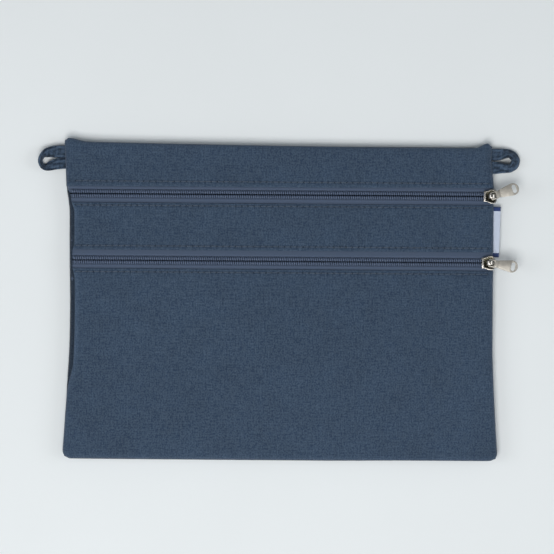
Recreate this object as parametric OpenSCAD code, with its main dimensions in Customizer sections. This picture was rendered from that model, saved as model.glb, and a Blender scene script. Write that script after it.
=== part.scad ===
// Flat A5-size cloth pencil case with two coil zips across the front.
// Millimetres. It lies on its back: +X runs along the zips towards their closed end,
// +Y points to the top edge with the hanging loops, +Z points up out of the front.
// The origin is the middle of the back face, on the surface that the case lies on.

/* [Case] */
// Height from the bottom edge to the top edge
case_h = 175; // [120:1:260]
// Width at the narrowest place, the waist
waist_w = 234.5; // [150:0.5:330]
// How far each bottom corner stands out past the waist
bottom_flare = 3.8; // [0:0.1:6]
// How far each top corner stands out past the waist
top_flare = 1.3; // [0:0.1:4]
// Height of the flared stretch above the bottom edge
bottom_flare_h = 56; // [30:1:70]
// Height of the flared stretch below the top edge
top_flare_h = 33; // [20:1:50]
// Radius of the two bottom corners
corner_r = 3.5; // [2:0.1:8]

/* [Cloth] */
// Thickness of the outer cloth
cloth_t = 0.9; // [0.6:0.1:1.4]
// Thickness of the divider cloth between the two pockets
divider_t = 0.45; // [0.3:0.05:0.8]
// Clearance between a slider's shoulders and the divider's sewn edge
divider_clear = 1.2; // [0.5:0.1:2]
// Slack depth of the main pocket when the case is empty
main_depth = 4.15; // [4.1:0.05:12]
// Gap left between sewn plies at the walls
seam_gap = 0.05; // [0.02:0.01:0.1]

/* [Zips] */
// Distance from the top edge down to the upper zip's centre line
upper_zip_drop = 28.2; // [24:0.1:40]
// Distance between the two zips' centre lines
zip_spacing = 36.7; // [30:0.1:60]
// Upper zip: clearance between its slider and the cloth edge above it
upper_clear_above = 0.6; // [0.4:0.1:3]
// Upper zip: clearance between its slider and the cloth edge below it
upper_clear_below = 1; // [0.4:0.1:3]
// Lower zip: clearance between its slider and the cloth edge above it
lower_clear_above = 1.8; // [0.4:0.1:3]
// Lower zip: clearance between its slider and the cloth edge below it
lower_clear_below = 0.6; // [0.4:0.1:3]
// Width of one half of the zip tape
tape_w = 12; // [10:0.5:14]
// Thickness of the zip tape
tape_t = 0.5; // [0.4:0.05:0.7]
// Gap between the two halves of a zip
zip_gap = 0.9; // [0.8:0.05:1.2]
// Width of one coil row
coil_w = 1.85; // [1.6:0.05:2.1]
// Height of one coil row
coil_h = 1.3; // [1:0.05:1.6]
// Distance from the case's edge to the end of a coil row
coil_end = 1.6; // [1.2:0.1:3]

/* [Sliders] */
// Length of a slider's top wing
slider_l = 7; // [6.4:0.1:8]
// Width of a slider's side rail at its shoulders
slider_rail = 1.3; // [1:0.05:1.6]
// Width of a slider's side rail at its tail
tail_rail = 0.35; // [0.25:0.05:0.7]
// Cut across the corners of the wings' closed end
wing_corner = 1; // [0.6:0.1:1.4]
// How far the wings' sides pull in ahead of the shoulders
wing_pinch = 0.1; // [0:0.05:0.2]
// Thickness of both wings
wing_t = 0.75; // [0.6:0.05:1]
// Length of the bottom wing, which stays inside the side seam
bottom_wing_l = 4.4; // [3.8:0.1:4.8]
// Running clearance between a slider and the zip
slide_clear = 0.3; // [0.25:0.05:0.4]
// Thickness of the post between the two coil rows
post_t = 0.5; // [0.4:0.05:0.6]
// Length of that post along the zip
post_l = 2; // [1.5:0.1:2.5]
// Upper slider: how far its closed end stands past the case's edge
upper_over = 1.1; // [0:0.1:1.4]
// Lower slider: how far its closed end stands past the case's edge
lower_over = 0.3; // [0:0.1:1.4]
// Clearance round the pull tab's bar inside the bridge that holds it
bridge_clear = 0.55; // [0.4:0.05:0.7]
// Thickness of the bridge
bridge_t = 0.8; // [0.6:0.05:1]
// Width of the bridge
bridge_w = 1.7; // [1.4:0.1:1.8]
// Offset of the bridge from the slider's middle, towards its closed end
bridge_shift = 0.9; // [0.5:0.1:1.4]

/* [Pull tabs] */
// Length of a pull tab from its pivot to its end
pull_l = 15.6; // [12:0.1:22]
// Thickness of a pull tab
pull_t = 1; // [0.8:0.05:1.2]
// Width of a pull tab at its round end
pull_w = 6.8; // [6:0.1:8]
// Clearance beside the bridge in the eye's opening
eye_side_clear = 0.8; // [0.7:0.05:1]
// Clearance in front of the bridge in the eye's opening
eye_end_clear = 0.6; // [0.4:0.05:1.1]
// Width of the rim on each side of the eye's opening
eye_rim = 0.55; // [0.45:0.05:0.7]
// Length of the solid neck past the eye
neck_l = 2; // [1.5:0.1:3]
// Width of the groove across the neck
groove_w = 0.4; // [0.2:0.05:0.6]
// Radius of the bar that turns in the bridge
bar_r = 0.55; // [0.45:0.05:0.6]
// Clearance under the bar
bar_clear = 0.25; // [0.2:0.05:0.3]
// Width of the slot hole across the pull tab's end
slot_w = 4.6; // [3.5:0.1:4.8]
// Length of the slot hole along the pull tab
slot_l = 2.3; // [2:0.1:2.6]
// Metal left between the slot hole and the end
slot_rim = 1.45; // [1.2:0.05:2]
// Upper pull tab: direction at rest, turned from +X towards +Y
upper_pull_turn = 19; // [-20:1:20]
// Lower pull tab: direction at rest, turned from +X towards +Y
lower_pull_turn = -9; // [-20:1:20]
// How far both pull tabs slope down at rest
pull_droop = 3; // [0:0.5:3]

/* [Loops] */
// Width of the folded strip that a loop is made from
strip_w = 6.8; // [5:0.1:8]
// Thickness of the folded strip
strip_t = 1.7; // [1.2:0.1:1.8]
// Height of the strip where it stands on edge round the turn
turn_h = 4.4; // [2:0.1:5]
// Slit between the two legs
leg_gap = 0.2; // [0.1:0.05:0.4]
// Distance from the top edge down to a loop's upper side
loop_drop = 1.6; // [1:0.1:4]
// Length of the left loop outside the seam
left_loop_l = 17.2; // [14:0.1:22]
// Thickness of the left loop's turn
left_turn_w = 2.4; // [1.8:0.1:3]
// Length of the right loop outside the seam
right_loop_l = 13.9; // [12:0.1:22]
// Thickness of the right loop's turn
right_turn_w = 4.8; // [1.8:0.1:5]
// How much narrower a loop is at its turn, on each side
loop_taper = 0.8; // [0:0.1:1.5]
// Half width of the hole at a loop's turn
loop_hole_r = 1.3; // [1:0.1:1.8]
// Clearance between a loop and the seam it swings at
loop_clear = 0.3; // [0.2:0.05:0.5]
// Length of a loop's tail inside the seam
tail_l = 7; // [5:0.5:7]

/* [Label] */
// Length of the label along the seam
label_l = 27.8; // [15:0.1:30]
// Width of the label outside the seam
label_out = 3.6; // [2:0.1:8]
// Width of the label inside the seam
label_in = 4; // [3:0.5:7]
// Thickness of the label
label_t = 0.35; // [0.2:0.05:0.5]
// Distance from the upper zip's centre line down to the label
label_drop = 6.9; // [6:0.1:7]

/* [Sewing] */
// Width of the bound seam allowance
binding_w = 7; // [5:0.5:8]
// Thickness of the bound seam allowance
binding_t = 1.3; // [1:0.1:1.4]
// Distance between stitches
stitch_pitch = 3.4; // [2.4:0.1:4.5]
// Length of thread that shows in each stitch
stitch_l = 2.5; // [1.5:0.1:2.6]
// Width of the thread
thread_w = 0.4; // [0.3:0.05:0.5]
// Height of the thread on the cloth
thread_h = 0.22; // [0.15:0.01:0.3]
// Stitch row above the upper zip: distance from the cloth edge
upper_row_above = 2.5; // [1.2:0.1:3]
// Stitch row below the upper zip: distance from the cloth edge
upper_row_below = 1.5; // [1.2:0.1:3]
// Stitch row above the lower zip: distance from the cloth edge
lower_row_above = 2.3; // [1.2:0.1:3]
// Stitch row below the lower zip: distance from the cloth edge
lower_row_below = 1.9; // [1.2:0.1:3]
// Distance from the case's edge to the first stitch
row_margin = 3; // [2:0.5:8]

/* [Hidden] */
$fn = 48;

// Colours
cloth_blue = [0.24, 0.29, 0.36];
divider_blue = [0.30, 0.35, 0.42];
tape_blue = [0.31, 0.36, 0.43];
coil_blue = [0.36, 0.40, 0.47];
nickel = [0.78, 0.77, 0.74];
label_white = [0.90, 0.92, 0.95];
thread_blue = [0.20, 0.25, 0.33];

// Slider: the channel that holds both coil rows, and the widths round it
channel_half = zip_gap / 2 + coil_w + slide_clear;
slider_w = 2 * (channel_half + slider_rail);
slider_tail_w = 2 * (channel_half + tail_rail);
bridge_r = bar_r + bridge_clear;
bridge_outer_r = bridge_r + bridge_t;

// Pull tab: the eye that goes round the bridge
eye_open_w = bridge_w + 2 * eye_side_clear;
eye_open_l = bridge_outer_r + eye_end_clear;
eye_w = eye_open_w + 2 * eye_rim;

// Heights of the layers, from the surface up
divider_z = cloth_t + main_depth;
bottom_wing_z = divider_z + divider_t + slide_clear;
tape_z = bottom_wing_z + wing_t + slide_clear;
front_z = tape_z + tape_t;
front_top_z = front_z + cloth_t;
coil_top_z = front_z + coil_h;
top_wing_z = coil_top_z + slide_clear;
pivot_z = top_wing_z + wing_t + bar_clear + bar_r;
seam_z = front_top_z / 2;

// Places of the zips and of the cloth edges beside them
top_y = case_h / 2;
bottom_y = -case_h / 2;
upper_y = top_y - upper_zip_drop;
lower_y = upper_y - zip_spacing;
upper_above = slider_w / 2 + upper_clear_above;
upper_below = slider_w / 2 + upper_clear_below;
lower_above = slider_w / 2 + lower_clear_above;
lower_below = slider_w / 2 + lower_clear_below;
band_bottom_y = upper_y + upper_above;
middle_top_y = upper_y - upper_below;
middle_bottom_y = lower_y + lower_above;
panel_top_y = lower_y - lower_below;

// Loops
loop_w = 2 * strip_w + leg_gap;
loop_top_y = top_y - loop_drop;
loop_y = loop_top_y - loop_w / 2;
loop_z = seam_z - strip_t / 2 - seam_gap;
loop_pivot_x = half_width(loop_top_y) + loop_clear + strip_t / 2;

// Half of the case's width at height y: straight at the waist, flared towards both ends
function half_width(y) = waist_w / 2
    + bottom_flare * pow(max(0, (bottom_y + bottom_flare_h - y) / bottom_flare_h), 2)
    + top_flare * pow(max(0, (y - top_y + top_flare_h) / top_flare_h), 2);

// Points along the right edge from y0 up to y1, about 7 mm apart
function edge_points(y0, y1, inset) =
    let (n = max(2, ceil((y1 - y0) / 7)))
    [for (i = [0 : n]) let (y = y0 + (y1 - y0) * i / n) [half_width(y) - inset, y]];

// Points round the right bottom corner
function corner_points(y0, r, inset) = r <= 0 ? [] :
    let (cx = half_width(y0 + r) - inset - r)
    [for (a = [-90 : 15 : -15]) [cx + r * cos(a), y0 + r + r * sin(a)]];

// A list of points with its order and its x turned over
function mirrored(points) = [for (i = [len(points) - 1 : -1 : 0]) [-points[i][0], points[i][1]]];

// The stretch of the case's outline between y0 and y1
module plan(y0, y1, inset = 0, r = 0) {
    right = concat(corner_points(y0, r, inset), edge_points(y0 + max(0, r), y1, inset));
    polygon(concat(right, mirrored(right)));
}

// The case's edge as a ring one ply thick; low and high say which ends it closes
module rim(y0, y1, low, high) {
    r = low ? corner_r : 0;
    difference() {
        plan(y0, y1, 0, r);
        plan(low ? y0 + cloth_t : y0 - 1, high ? y1 - cloth_t : y1 + 1, cloth_t, r - cloth_t);
    }
}

module slab(z0, z1) {
    translate([0, 0, z0]) linear_extrude(z1 - z0) children();
}

// Panels

// The way out through a side wall, h deep from the seam, for the label or a loop's tail
module wall_way(side, y0, y1, h) {
    x = side * half_width((y0 + y1) / 2);
    translate([x - 2 * cloth_t, y0 - seam_gap, seam_z - h])
        cube([4 * cloth_t, y1 - y0 + 2 * seam_gap, 2 * h]);
}

// A tray whose side walls rise to the tapes where a zip crosses them
module back_panel() {
    color(cloth_blue) difference() {
        union() {
            slab(0, cloth_t) plan(bottom_y, top_y, 0, corner_r);
            slab(0, seam_z) rim(bottom_y, top_y, true, true);
            slab(0, tape_z) rim(middle_top_y + seam_gap, band_bottom_y - seam_gap, false, false);
            slab(0, tape_z) rim(panel_top_y + seam_gap, middle_bottom_y - seam_gap, false, false);
        }
        for (side = [-1, 1]) wall_way(side, loop_top_y - loop_w, loop_top_y, strip_t + 2 * seam_gap);
        wall_way(1, upper_y - label_drop - label_l, upper_y - label_drop, label_t + seam_gap);
    }
}

// One piece of the front: a flat panel with its share of the case's edge turned down to the seam
module front_piece(y0, y1, low = false, high = false) {
    color(cloth_blue) {
        slab(front_z, front_top_z) plan(y0, y1, 0, low ? corner_r : 0);
        slab(seam_z, front_top_z) rim(y0, y1, low, high);
    }
}

module top_band() {
    front_piece(band_bottom_y, top_y, high = true);
}

module middle_band() {
    front_piece(middle_bottom_y, middle_top_y);
}

module lower_panel() {
    front_piece(bottom_y, panel_top_y, low = true);
}

// The divider hangs from the upper zip's lower tape, steps down and runs to the bottom seam
module divider_panel() {
    inset = cloth_t + seam_gap;
    step_y = upper_y - tape_w;
    riser_y = step_y - divider_t;
    color(divider_blue) {
        slab(divider_z, divider_z + divider_t)
            plan(bottom_y + inset, step_y, inset, corner_r - inset);
        slab(divider_z, tape_z) plan(riser_y, step_y, inset);
        slab(tape_z - divider_t, tape_z) plan(riser_y, upper_y - slider_w / 2 - divider_clear, inset);
    }
}

// Zips

// Half of a zip tape on one side of its centre line; reveal is how much of it the cloth leaves open.
// Under the cloth it ends at the side walls, and where it is open it lies on the back panel's edge.
module tape(zip_y, side, reveal) {
    near = zip_gap / 2;
    open_end = reveal - seam_gap;
    covered = side > 0 ? [zip_y + near, zip_y + tape_w] : [zip_y - tape_w, zip_y - near];
    open = side > 0 ? [zip_y + near, zip_y + open_end] : [zip_y - open_end, zip_y - near];
    color(tape_blue) slab(tape_z, front_z) {
        plan(covered[0], covered[1], cloth_t + seam_gap);
        plan(open[0], open[1]);
    }
}

module upper_zip_tape_top() {
    tape(upper_y, 1, upper_above);
}

module upper_zip_tape_bottom() {
    tape(upper_y, -1, upper_below);
}

module lower_zip_tape_top() {
    tape(lower_y, 1, lower_above);
}

module lower_zip_tape_bottom() {
    tape(lower_y, -1, lower_below);
}

// One coil row: a bar with a rounded top
module coil(zip_y, side) {
    r = coil_w / 2;
    length = 2 * (half_width(zip_y) - coil_end);
    color(coil_blue)
        translate([-length / 2, zip_y + side * (zip_gap / 2 + r), front_z])
            rotate([90, 0, 90]) linear_extrude(length) intersection() {
                translate([0, coil_h - r]) union() {
                    circle(r);
                    translate([-r, -coil_h]) square([coil_w, coil_h]);
                }
                translate([-coil_w, 0]) square([2 * coil_w, coil_h]);
            }
}

module upper_zip_coil_top() {
    coil(upper_y, 1);
}

module upper_zip_coil_bottom() {
    coil(upper_y, -1);
}

module lower_zip_coil_top() {
    coil(lower_y, 1);
}

module lower_zip_coil_bottom() {
    coil(lower_y, -1);
}

// Sliders and pull tabs

// Outline of a slider's wing: narrow at the tail, wide at the shoulders, with cut corners
module wing_plan() {
    half_l = slider_l / 2;
    half_w = slider_w / 2;
    tail = slider_tail_w / 2;
    waist_x = -0.1 * slider_l;
    shoulder_x = 0.1 * slider_l;
    upper_side = [[-half_l, tail], [waist_x, (tail + half_w) / 2 - wing_pinch], [shoulder_x, half_w],
        [half_l - wing_corner, half_w], [half_l, half_w - wing_corner]];
    lower_side = [for (i = [len(upper_side) - 1 : -1 : 0]) [upper_side[i][0], -upper_side[i][1]]];
    polygon(concat(upper_side, lower_side));
}

// Side view of the bridge from its pivot: a half ring on two short legs
module bridge_profile() {
    foot = pivot_z - top_wing_z;
    leg = foot - wing_t;
    intersection() {
        difference() {
            union() {
                circle(bridge_outer_r);
                translate([-bridge_outer_r, -foot]) square([2 * bridge_outer_r, foot]);
            }
            circle(bridge_r);
            translate([-bridge_r, -leg]) square([2 * bridge_r, leg]);
        }
        translate([-bridge_outer_r, -foot]) square([2 * bridge_outer_r, foot + bridge_outer_r]);
    }
}

module slider() {
    post_x = bottom_wing_l - slider_l / 2 - post_l;
    color(nickel) {
        slab(top_wing_z, top_wing_z + wing_t) wing_plan();
        slab(front_z + slide_clear, top_wing_z) difference() {
            wing_plan();
            square([2 * slider_l, 2 * channel_half], center = true);
        }
        slab(bottom_wing_z, bottom_wing_z + wing_t) intersection() {
            wing_plan();
            translate([-slider_l / 2, -slider_w]) square([bottom_wing_l, 2 * slider_w]);
        }
        slab(bottom_wing_z, top_wing_z + wing_t) translate([post_x, -post_t / 2]) square([post_l, post_t]);
        translate([bridge_shift, bridge_w / 2, pivot_z]) rotate([90, 0, 0]) linear_extrude(bridge_w)
            bridge_profile();
    }
}

// Centre of a slider at rest, closed, with its end standing past the case's edge
function slider_x(zip_y, over) = half_width(zip_y) + over - slider_l / 2;

module upper_slider() {
    translate([slider_x(upper_y, upper_over), upper_y, 0]) slider();
}

module lower_slider() {
    translate([slider_x(lower_y, lower_over), lower_y, 0]) slider();
}

// A pull tab along +X with its pivot at the origin
module pull_tab() {
    round_x = pull_l - pull_w / 2;
    slot_x = pull_l - slot_rim - slot_l / 2;
    neck_x = eye_open_l + neck_l;
    color(nickel) difference() {
        union() {
            translate([0, 0, -pull_t / 2]) linear_extrude(pull_t) difference() {
                union() {
                    translate([0, -eye_w / 2]) square([neck_x, eye_w]);
                    polygon([
                        [neck_x, -eye_w / 2], [round_x, -pull_w / 2],
                        [round_x, pull_w / 2], [neck_x, eye_w / 2]
                    ]);
                    translate([round_x, 0]) circle(pull_w / 2);
                }
                translate([0, -eye_open_w / 2]) square([eye_open_l, eye_open_w]);
                translate([slot_x - slot_l / 2, -(slot_w - slot_l) / 2]) square([slot_l, slot_w - slot_l]);
                for (side = [-1, 1]) translate([slot_x, side * (slot_w - slot_l) / 2]) circle(slot_l / 2);
            }
            rotate([90, 0, 0]) cylinder(r = bar_r, h = eye_w, center = true);
        }
        // Groove across the neck
        translate([neck_x, -pull_w, pull_t / 4]) cube([groove_w, 2 * pull_w, pull_t]);
    }
}

module placed_pull_tab(zip_y, over, turn) {
    translate([slider_x(zip_y, over) + bridge_shift, zip_y, pivot_z])
        rotate([0, 0, turn]) rotate([0, pull_droop, 0]) pull_tab();
}

module upper_pull_tab() {
    placed_pull_tab(upper_y, upper_over, upper_pull_turn);
}

module lower_pull_tab() {
    placed_pull_tab(lower_y, lower_over, lower_pull_turn);
}

// Hanging loops

// A loop along +X from its pivot: two legs side by side that join in a turn standing on edge
module loop(length, turn_w) {
    reach = length - strip_t / 2 - loop_clear;
    tip_r = loop_w / 2 - loop_taper;
    tip_x = reach - tip_r;
    hole_x = reach - turn_w - loop_hole_r;
    color(cloth_blue) difference() {
        union() {
            slab(-strip_t / 2, strip_t / 2) {
                polygon([[0, -loop_w / 2], [tip_x, -tip_r], [tip_x, tip_r], [0, loop_w / 2]]);
                translate([tip_x, 0]) circle(tip_r);
            }
            slab(-turn_h / 2, turn_h / 2) intersection() {
                translate([tip_x, 0]) circle(tip_r);
                translate([hole_x, -tip_r]) square([reach, 2 * tip_r]);
            }
            rotate([90, 0, 0]) cylinder(d = strip_t, h = loop_w, center = true);
        }
        slab(-turn_h, turn_h) {
            translate([hole_x, 0]) circle(loop_hole_r);
            polygon([[hole_x, -loop_hole_r], [hole_x, loop_hole_r], [hole_x - 3 * loop_hole_r, 0]]);
            translate([-strip_t, -leg_gap / 2]) square([hole_x + strip_t, leg_gap]);
        }
    }
}

// The end of a loop's strip, caught in the side seam
module loop_tail(side) {
    outer_x = half_width(loop_top_y - loop_w);
    x0 = side > 0 ? outer_x - cloth_t - tail_l : -outer_x;
    color(cloth_blue) for (leg = [0, 1])
        translate([x0, loop_top_y - strip_w - leg * (strip_w + leg_gap), loop_z - strip_t / 2])
            cube([tail_l + cloth_t, strip_w, strip_t]);
}

module left_loop() {
    translate([-loop_pivot_x, loop_y, loop_z]) mirror([1, 0, 0]) loop(left_loop_l, left_turn_w);
}

module right_loop() {
    translate([loop_pivot_x, loop_y, loop_z]) loop(right_loop_l, right_turn_w);
}

module left_loop_tail() {
    loop_tail(-1);
}

module right_loop_tail() {
    loop_tail(1);
}

// Label

module side_label() {
    edge_x = half_width(upper_y - label_drop - label_l / 2);
    color(label_white)
        translate([edge_x - cloth_t - label_in, upper_y - label_drop - label_l, seam_z - label_t])
            cube([label_in + cloth_t + label_out, label_l, label_t]);
}

// Bound seam allowances, lying on the inside of the back panel

module side_binding(side) {
    inset = cloth_t + seam_gap;
    y0 = bottom_y + inset;
    y1 = top_y - inset;
    right = edge_points(y0 + corner_r, y1, inset);
    left = edge_points(y0 + corner_r, y1, inset + binding_w);
    ring = concat(right, [for (i = [len(left) - 1 : -1 : 0]) left[i]]);
    color(tape_blue) slab(cloth_t, cloth_t + binding_t)
        polygon([for (p = ring) [side * p[0], p[1]]]);
}

// A binding along the top or the bottom edge, between the two side bindings
module end_binding(y0) {
    inset = cloth_t + seam_gap + binding_w + seam_gap;
    color(tape_blue) slab(cloth_t, cloth_t + binding_t) plan(y0, y0 + binding_w, inset);
}

module left_seam_binding() {
    side_binding(-1);
}

module right_seam_binding() {
    side_binding(1);
}

module bottom_seam_binding() {
    end_binding(bottom_y + cloth_t + seam_gap);
}

module top_seam_binding() {
    end_binding(top_y - cloth_t - seam_gap - binding_w);
}

// Topstitching

// One row of separate stitches along X
module stitch_row(y) {
    half = half_width(y) - row_margin;
    n = floor(2 * half / stitch_pitch);
    start = -(n - 1) * stitch_pitch / 2;
    color(thread_blue) for (i = [0 : n - 1])
        translate([start + i * stitch_pitch - stitch_l / 2, y - thread_w / 2, front_top_z])
            cube([stitch_l, thread_w, thread_h]);
}

module topstitch_upper_above() {
    stitch_row(band_bottom_y + upper_row_above);
}

module topstitch_upper_below() {
    stitch_row(middle_top_y - upper_row_below);
}

module topstitch_lower_above() {
    stitch_row(middle_bottom_y + lower_row_above);
}

module topstitch_lower_below() {
    stitch_row(panel_top_y - lower_row_below);
}

back_panel();
divider_panel();
top_band();
middle_band();
lower_panel();
upper_zip_tape_top();
upper_zip_tape_bottom();
lower_zip_tape_top();
lower_zip_tape_bottom();
upper_zip_coil_top();
upper_zip_coil_bottom();
lower_zip_coil_top();
lower_zip_coil_bottom();
upper_slider();
lower_slider();
upper_pull_tab();
lower_pull_tab();
left_loop();
right_loop();
left_loop_tail();
right_loop_tail();
side_label();
left_seam_binding();
right_seam_binding();
bottom_seam_binding();
top_seam_binding();
topstitch_upper_above();
topstitch_upper_below();
topstitch_lower_above();
topstitch_lower_below();
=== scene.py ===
"""Dresses the flat two-zip pencil case in cloth, zips, metal sliders, loops and thread."""

import math

import bpy
import numpy as np
from bpy.props import FloatProperty, FloatVectorProperty, IntProperty, PointerProperty
from mathutils import Matrix, Vector


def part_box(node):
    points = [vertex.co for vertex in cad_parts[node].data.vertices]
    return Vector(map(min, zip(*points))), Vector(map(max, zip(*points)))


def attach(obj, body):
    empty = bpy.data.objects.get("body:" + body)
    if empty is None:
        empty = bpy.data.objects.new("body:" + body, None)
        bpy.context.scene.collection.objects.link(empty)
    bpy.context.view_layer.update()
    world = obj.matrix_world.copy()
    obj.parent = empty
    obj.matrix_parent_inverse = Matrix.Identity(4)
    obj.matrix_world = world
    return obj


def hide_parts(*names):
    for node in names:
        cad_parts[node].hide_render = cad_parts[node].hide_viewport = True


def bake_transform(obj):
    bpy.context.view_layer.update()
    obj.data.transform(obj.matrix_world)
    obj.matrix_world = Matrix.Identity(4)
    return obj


bl_info = {
    "name": "Cloth pencil case",
    "version": (1, 0, 0),
    "blender": (4, 5, 0),
    "location": "View3D > Sidebar > Pencil case",
    "description": "Makes the cloth, zips, sliders, loops, label and thread of a flat pencil case",
    "category": "Object",
}

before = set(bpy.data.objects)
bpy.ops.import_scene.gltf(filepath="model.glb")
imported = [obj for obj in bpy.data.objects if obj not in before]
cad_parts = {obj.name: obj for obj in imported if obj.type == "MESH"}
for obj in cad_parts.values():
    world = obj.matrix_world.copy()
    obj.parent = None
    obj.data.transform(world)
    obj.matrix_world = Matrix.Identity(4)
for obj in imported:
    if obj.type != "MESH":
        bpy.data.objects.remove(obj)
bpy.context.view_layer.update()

MM = 0.001


def low(node):
    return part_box(node)[0]


def high(node):
    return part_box(node)[1]


# Places of the case, from the frame
TOP_Y = high("top_band").y
BOTTOM_Y = low("lower_panel").y
WAIST_X = high("middle_band").x
BOTTOM_X = high("lower_panel").x
TOP_X = high("top_band").x
FRONT_Z = high("middle_band").z
SEAM_Z = low("middle_band").z
TAPE_Z = high("upper_zip_tape_top").z
ZIP_Y = {
    name: (low(f"{name}_zip_coil_top").y + high(f"{name}_zip_coil_bottom").y) / 2
    for name in ("upper", "lower")
}

# How high the flared stretches at the bottom and at the top are
BOTTOM_FLARE_H = 62 * MM
BOTTOM_FLARE_POWER = 1.3
TOP_FLARE_H = 33 * MM
# Fullness of the cloth where it rolls over: 2 is an ellipse, more is squarer
FULLNESS = 2.2
# Left seam: the stretch that is rolled to the front, and how far round
ROLL_LOW_Y = -45 * MM
ROLL_HIGH_Y = 59 * MM
ROLL_ANGLE = math.radians(62)
# Length of the arc round a rolled edge, from the seam to the flat
ROLL_ARC = 4.2 * MM
# How far the right seam draws in towards the top
RIGHT_DRAW_IN = 2.2 * MM
# Corners in plan: the radius, and the stretch along both edges that turns with it
BOTTOM_CORNER = (5.2 * MM, 11 * MM)
TOP_CORNER = (2.2 * MM, 8 * MM)
# One topstitch and the gap after it
STITCH_PITCH = 3.4 * MM
# Zip tapes: half a tape's width, how far inside the seam it ends, and its turn down to the seam
TAPE_W = 12 * MM
TAPE_INSET = 0.5 * MM
TAPE_TURN = 1.3 * MM
# The bar that a pull tab turns on: its height, and its place right of the slider's middle
PIVOT_Z = 10.5 * MM
PIVOT_SHIFT = 0.9 * MM


def size(name, description, value, least, most):
    """A length, given in mm"""
    return FloatProperty(
        name=name, description=description, default=value * MM, min=least * MM, max=most * MM,
        unit="LENGTH")


class PencilCaseSizes(bpy.types.PropertyGroup):
    """Sizes that a maker would change"""

    cloth_thickness: size("Cloth", "Thickness of the outer cloth", 0.8, 0.3, 1.2)
    side_roll: size("Side roll", "How far in from a side seam the cloth rolls over", 4.8, 2, 9)
    zip_roll: size("Roll beside a zip", "How far in the cloth rolls over beside a zip", 2, 1, 5)
    bottom_roll: size("Bottom roll", "How far in from the bottom seam the cloth rolls", 3.4, 2, 9)
    top_roll: size("Top roll", "How far in from the top seam the cloth rolls", 3, 2, 9)
    ripple: size("Ripple", "Height of the soft ripples in the flat cloth", 0.16, 0, 1)
    pucker: size("Pucker", "Height of the puckers along a seam", 0.13, 0, 0.6)
    groove: size("Seam groove", "Depth of the groove where two cloths meet", 0.5, 0, 1)
    left_ear: size("Left ear", "How far the left top corner stands up", 2.1, 0, 5)
    right_ear: size("Right ear", "How far the right top corner stands up", 3, 0, 5)
    tooth_pitch: size("Tooth pitch", "Distance between the teeth of one coil row", 1.2, 0.8, 2)
    tooth_radius: size("Tooth wire", "Radius of the coil's wire", 0.4, 0.2, 0.5)
    stitch_length: size("Stitch length", "Length of thread that shows in each stitch", 2.5, 1, 3)
    thread_radius: size("Thread", "Radius of the sewing thread", 0.19, 0.1, 0.3)
    stitches: IntProperty(
        name="Stitches", description="Number of stitches in a row", default=67, min=20, max=120)


def colour(name, description, value):
    return FloatVectorProperty(
        name=name, description=description, default=value, min=0, max=1, subtype="COLOR", size=3)


class PencilCaseColours(bpy.types.PropertyGroup):
    """Colours that a maker would change"""

    warp: colour("Warp", "Dark threads of the outer cloth", (0.027, 0.049, 0.089))
    weft: colour("Weft", "Light threads of the outer cloth", (0.050, 0.079, 0.124))
    lining: colour("Divider", "Cloth between the two pockets", (0.075, 0.100, 0.150))
    tape: colour("Zip tape", "Woven tape beside the coil", (0.050, 0.076, 0.130))
    coil: colour("Zip coil", "Coil teeth", (0.086, 0.121, 0.200))
    thread: colour("Thread", "Sewing thread", (0.060, 0.088, 0.136))
    metal: colour("Metal", "Plated sliders and pull tabs", (0.54, 0.515, 0.47))
    label: colour("Label", "Ground of the woven label", (0.60, 0.67, 0.82))
    label_bar: colour("Label bars", "Woven bars at the label's ends", (0.005, 0.032, 0.150))
    floor: colour("Floor", "Surface that the case lies on", (0.82, 0.855, 0.875))


def sizes():
    return bpy.context.scene.pencil_case_sizes


def colours():
    return bpy.context.scene.pencil_case_colours


# Curves of the soft shell


def smooth_step(t):
    t = np.clip(t, 0, 1)
    return t * t * (3 - 2 * t)


def hump(x, centre, width):
    return np.exp(-(((x - centre) / width) ** 2))


def half_width(y):
    """Half of the case's width at height y"""
    low_share = np.clip((BOTTOM_Y + BOTTOM_FLARE_H - y) / BOTTOM_FLARE_H, 0, None)
    top_share = np.clip((y - TOP_Y + TOP_FLARE_H) / TOP_FLARE_H, 0, None)
    flare = (BOTTOM_X - WAIST_X) * low_share ** BOTTOM_FLARE_POWER
    return WAIST_X + flare + (TOP_X - WAIST_X) * top_share ** 2


def half_left(y):
    """The same on the left, where the seam bulges above the upper zip and pulls in lower down"""
    bulge = 2 * MM * smooth_step((y - 48 * MM) / (20 * MM))
    return half_width(y) + 0.2 * MM + bulge - 0.65 * MM * hump(y, -6 * MM, 30 * MM)


def half_right(y):
    """The same on the right, which draws in towards the top"""
    return half_width(y) - RIGHT_DRAW_IN * smooth_step((y - 62 * MM) / (22 * MM))


def inner_half(y):
    """Half the width that the narrowest of the side seams leaves inside"""
    return np.minimum(half_width(y), np.minimum(half_left(y), half_right(y)))


def near_zip(y):
    """1 beside a zip, 0 away from both"""
    offs = [np.abs(y - zip_y) for zip_y in ZIP_Y.values()]
    return np.clip(sum(1 - smooth_step((off - 4 * MM) / (7 * MM)) for off in offs), 0, 1)


def side_roll(y):
    """How far in from the side seam the cloth rolls over at height y"""
    s = sizes()
    return s.side_roll - (s.side_roll - s.zip_roll) * near_zip(y)


def seam_angle(y):
    """How far round the edge the left seam lies at height y: 0 is the middle of the side"""
    starts = smooth_step((y - ROLL_LOW_Y + 12 * MM) / (24 * MM))
    ends = smooth_step((y - ROLL_HIGH_Y) / (4 * MM))
    return (ROLL_ANGLE + math.radians(14) * near_zip(y)) * starts * (1 - ends)


def rise(t):
    """Height of a rolled edge, 0 to 1, where t goes from the seam to the flat"""
    return (1 - (1 - np.clip(t, 0, 1)) ** FULLNESS) ** (1 / FULLNESS)


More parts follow.
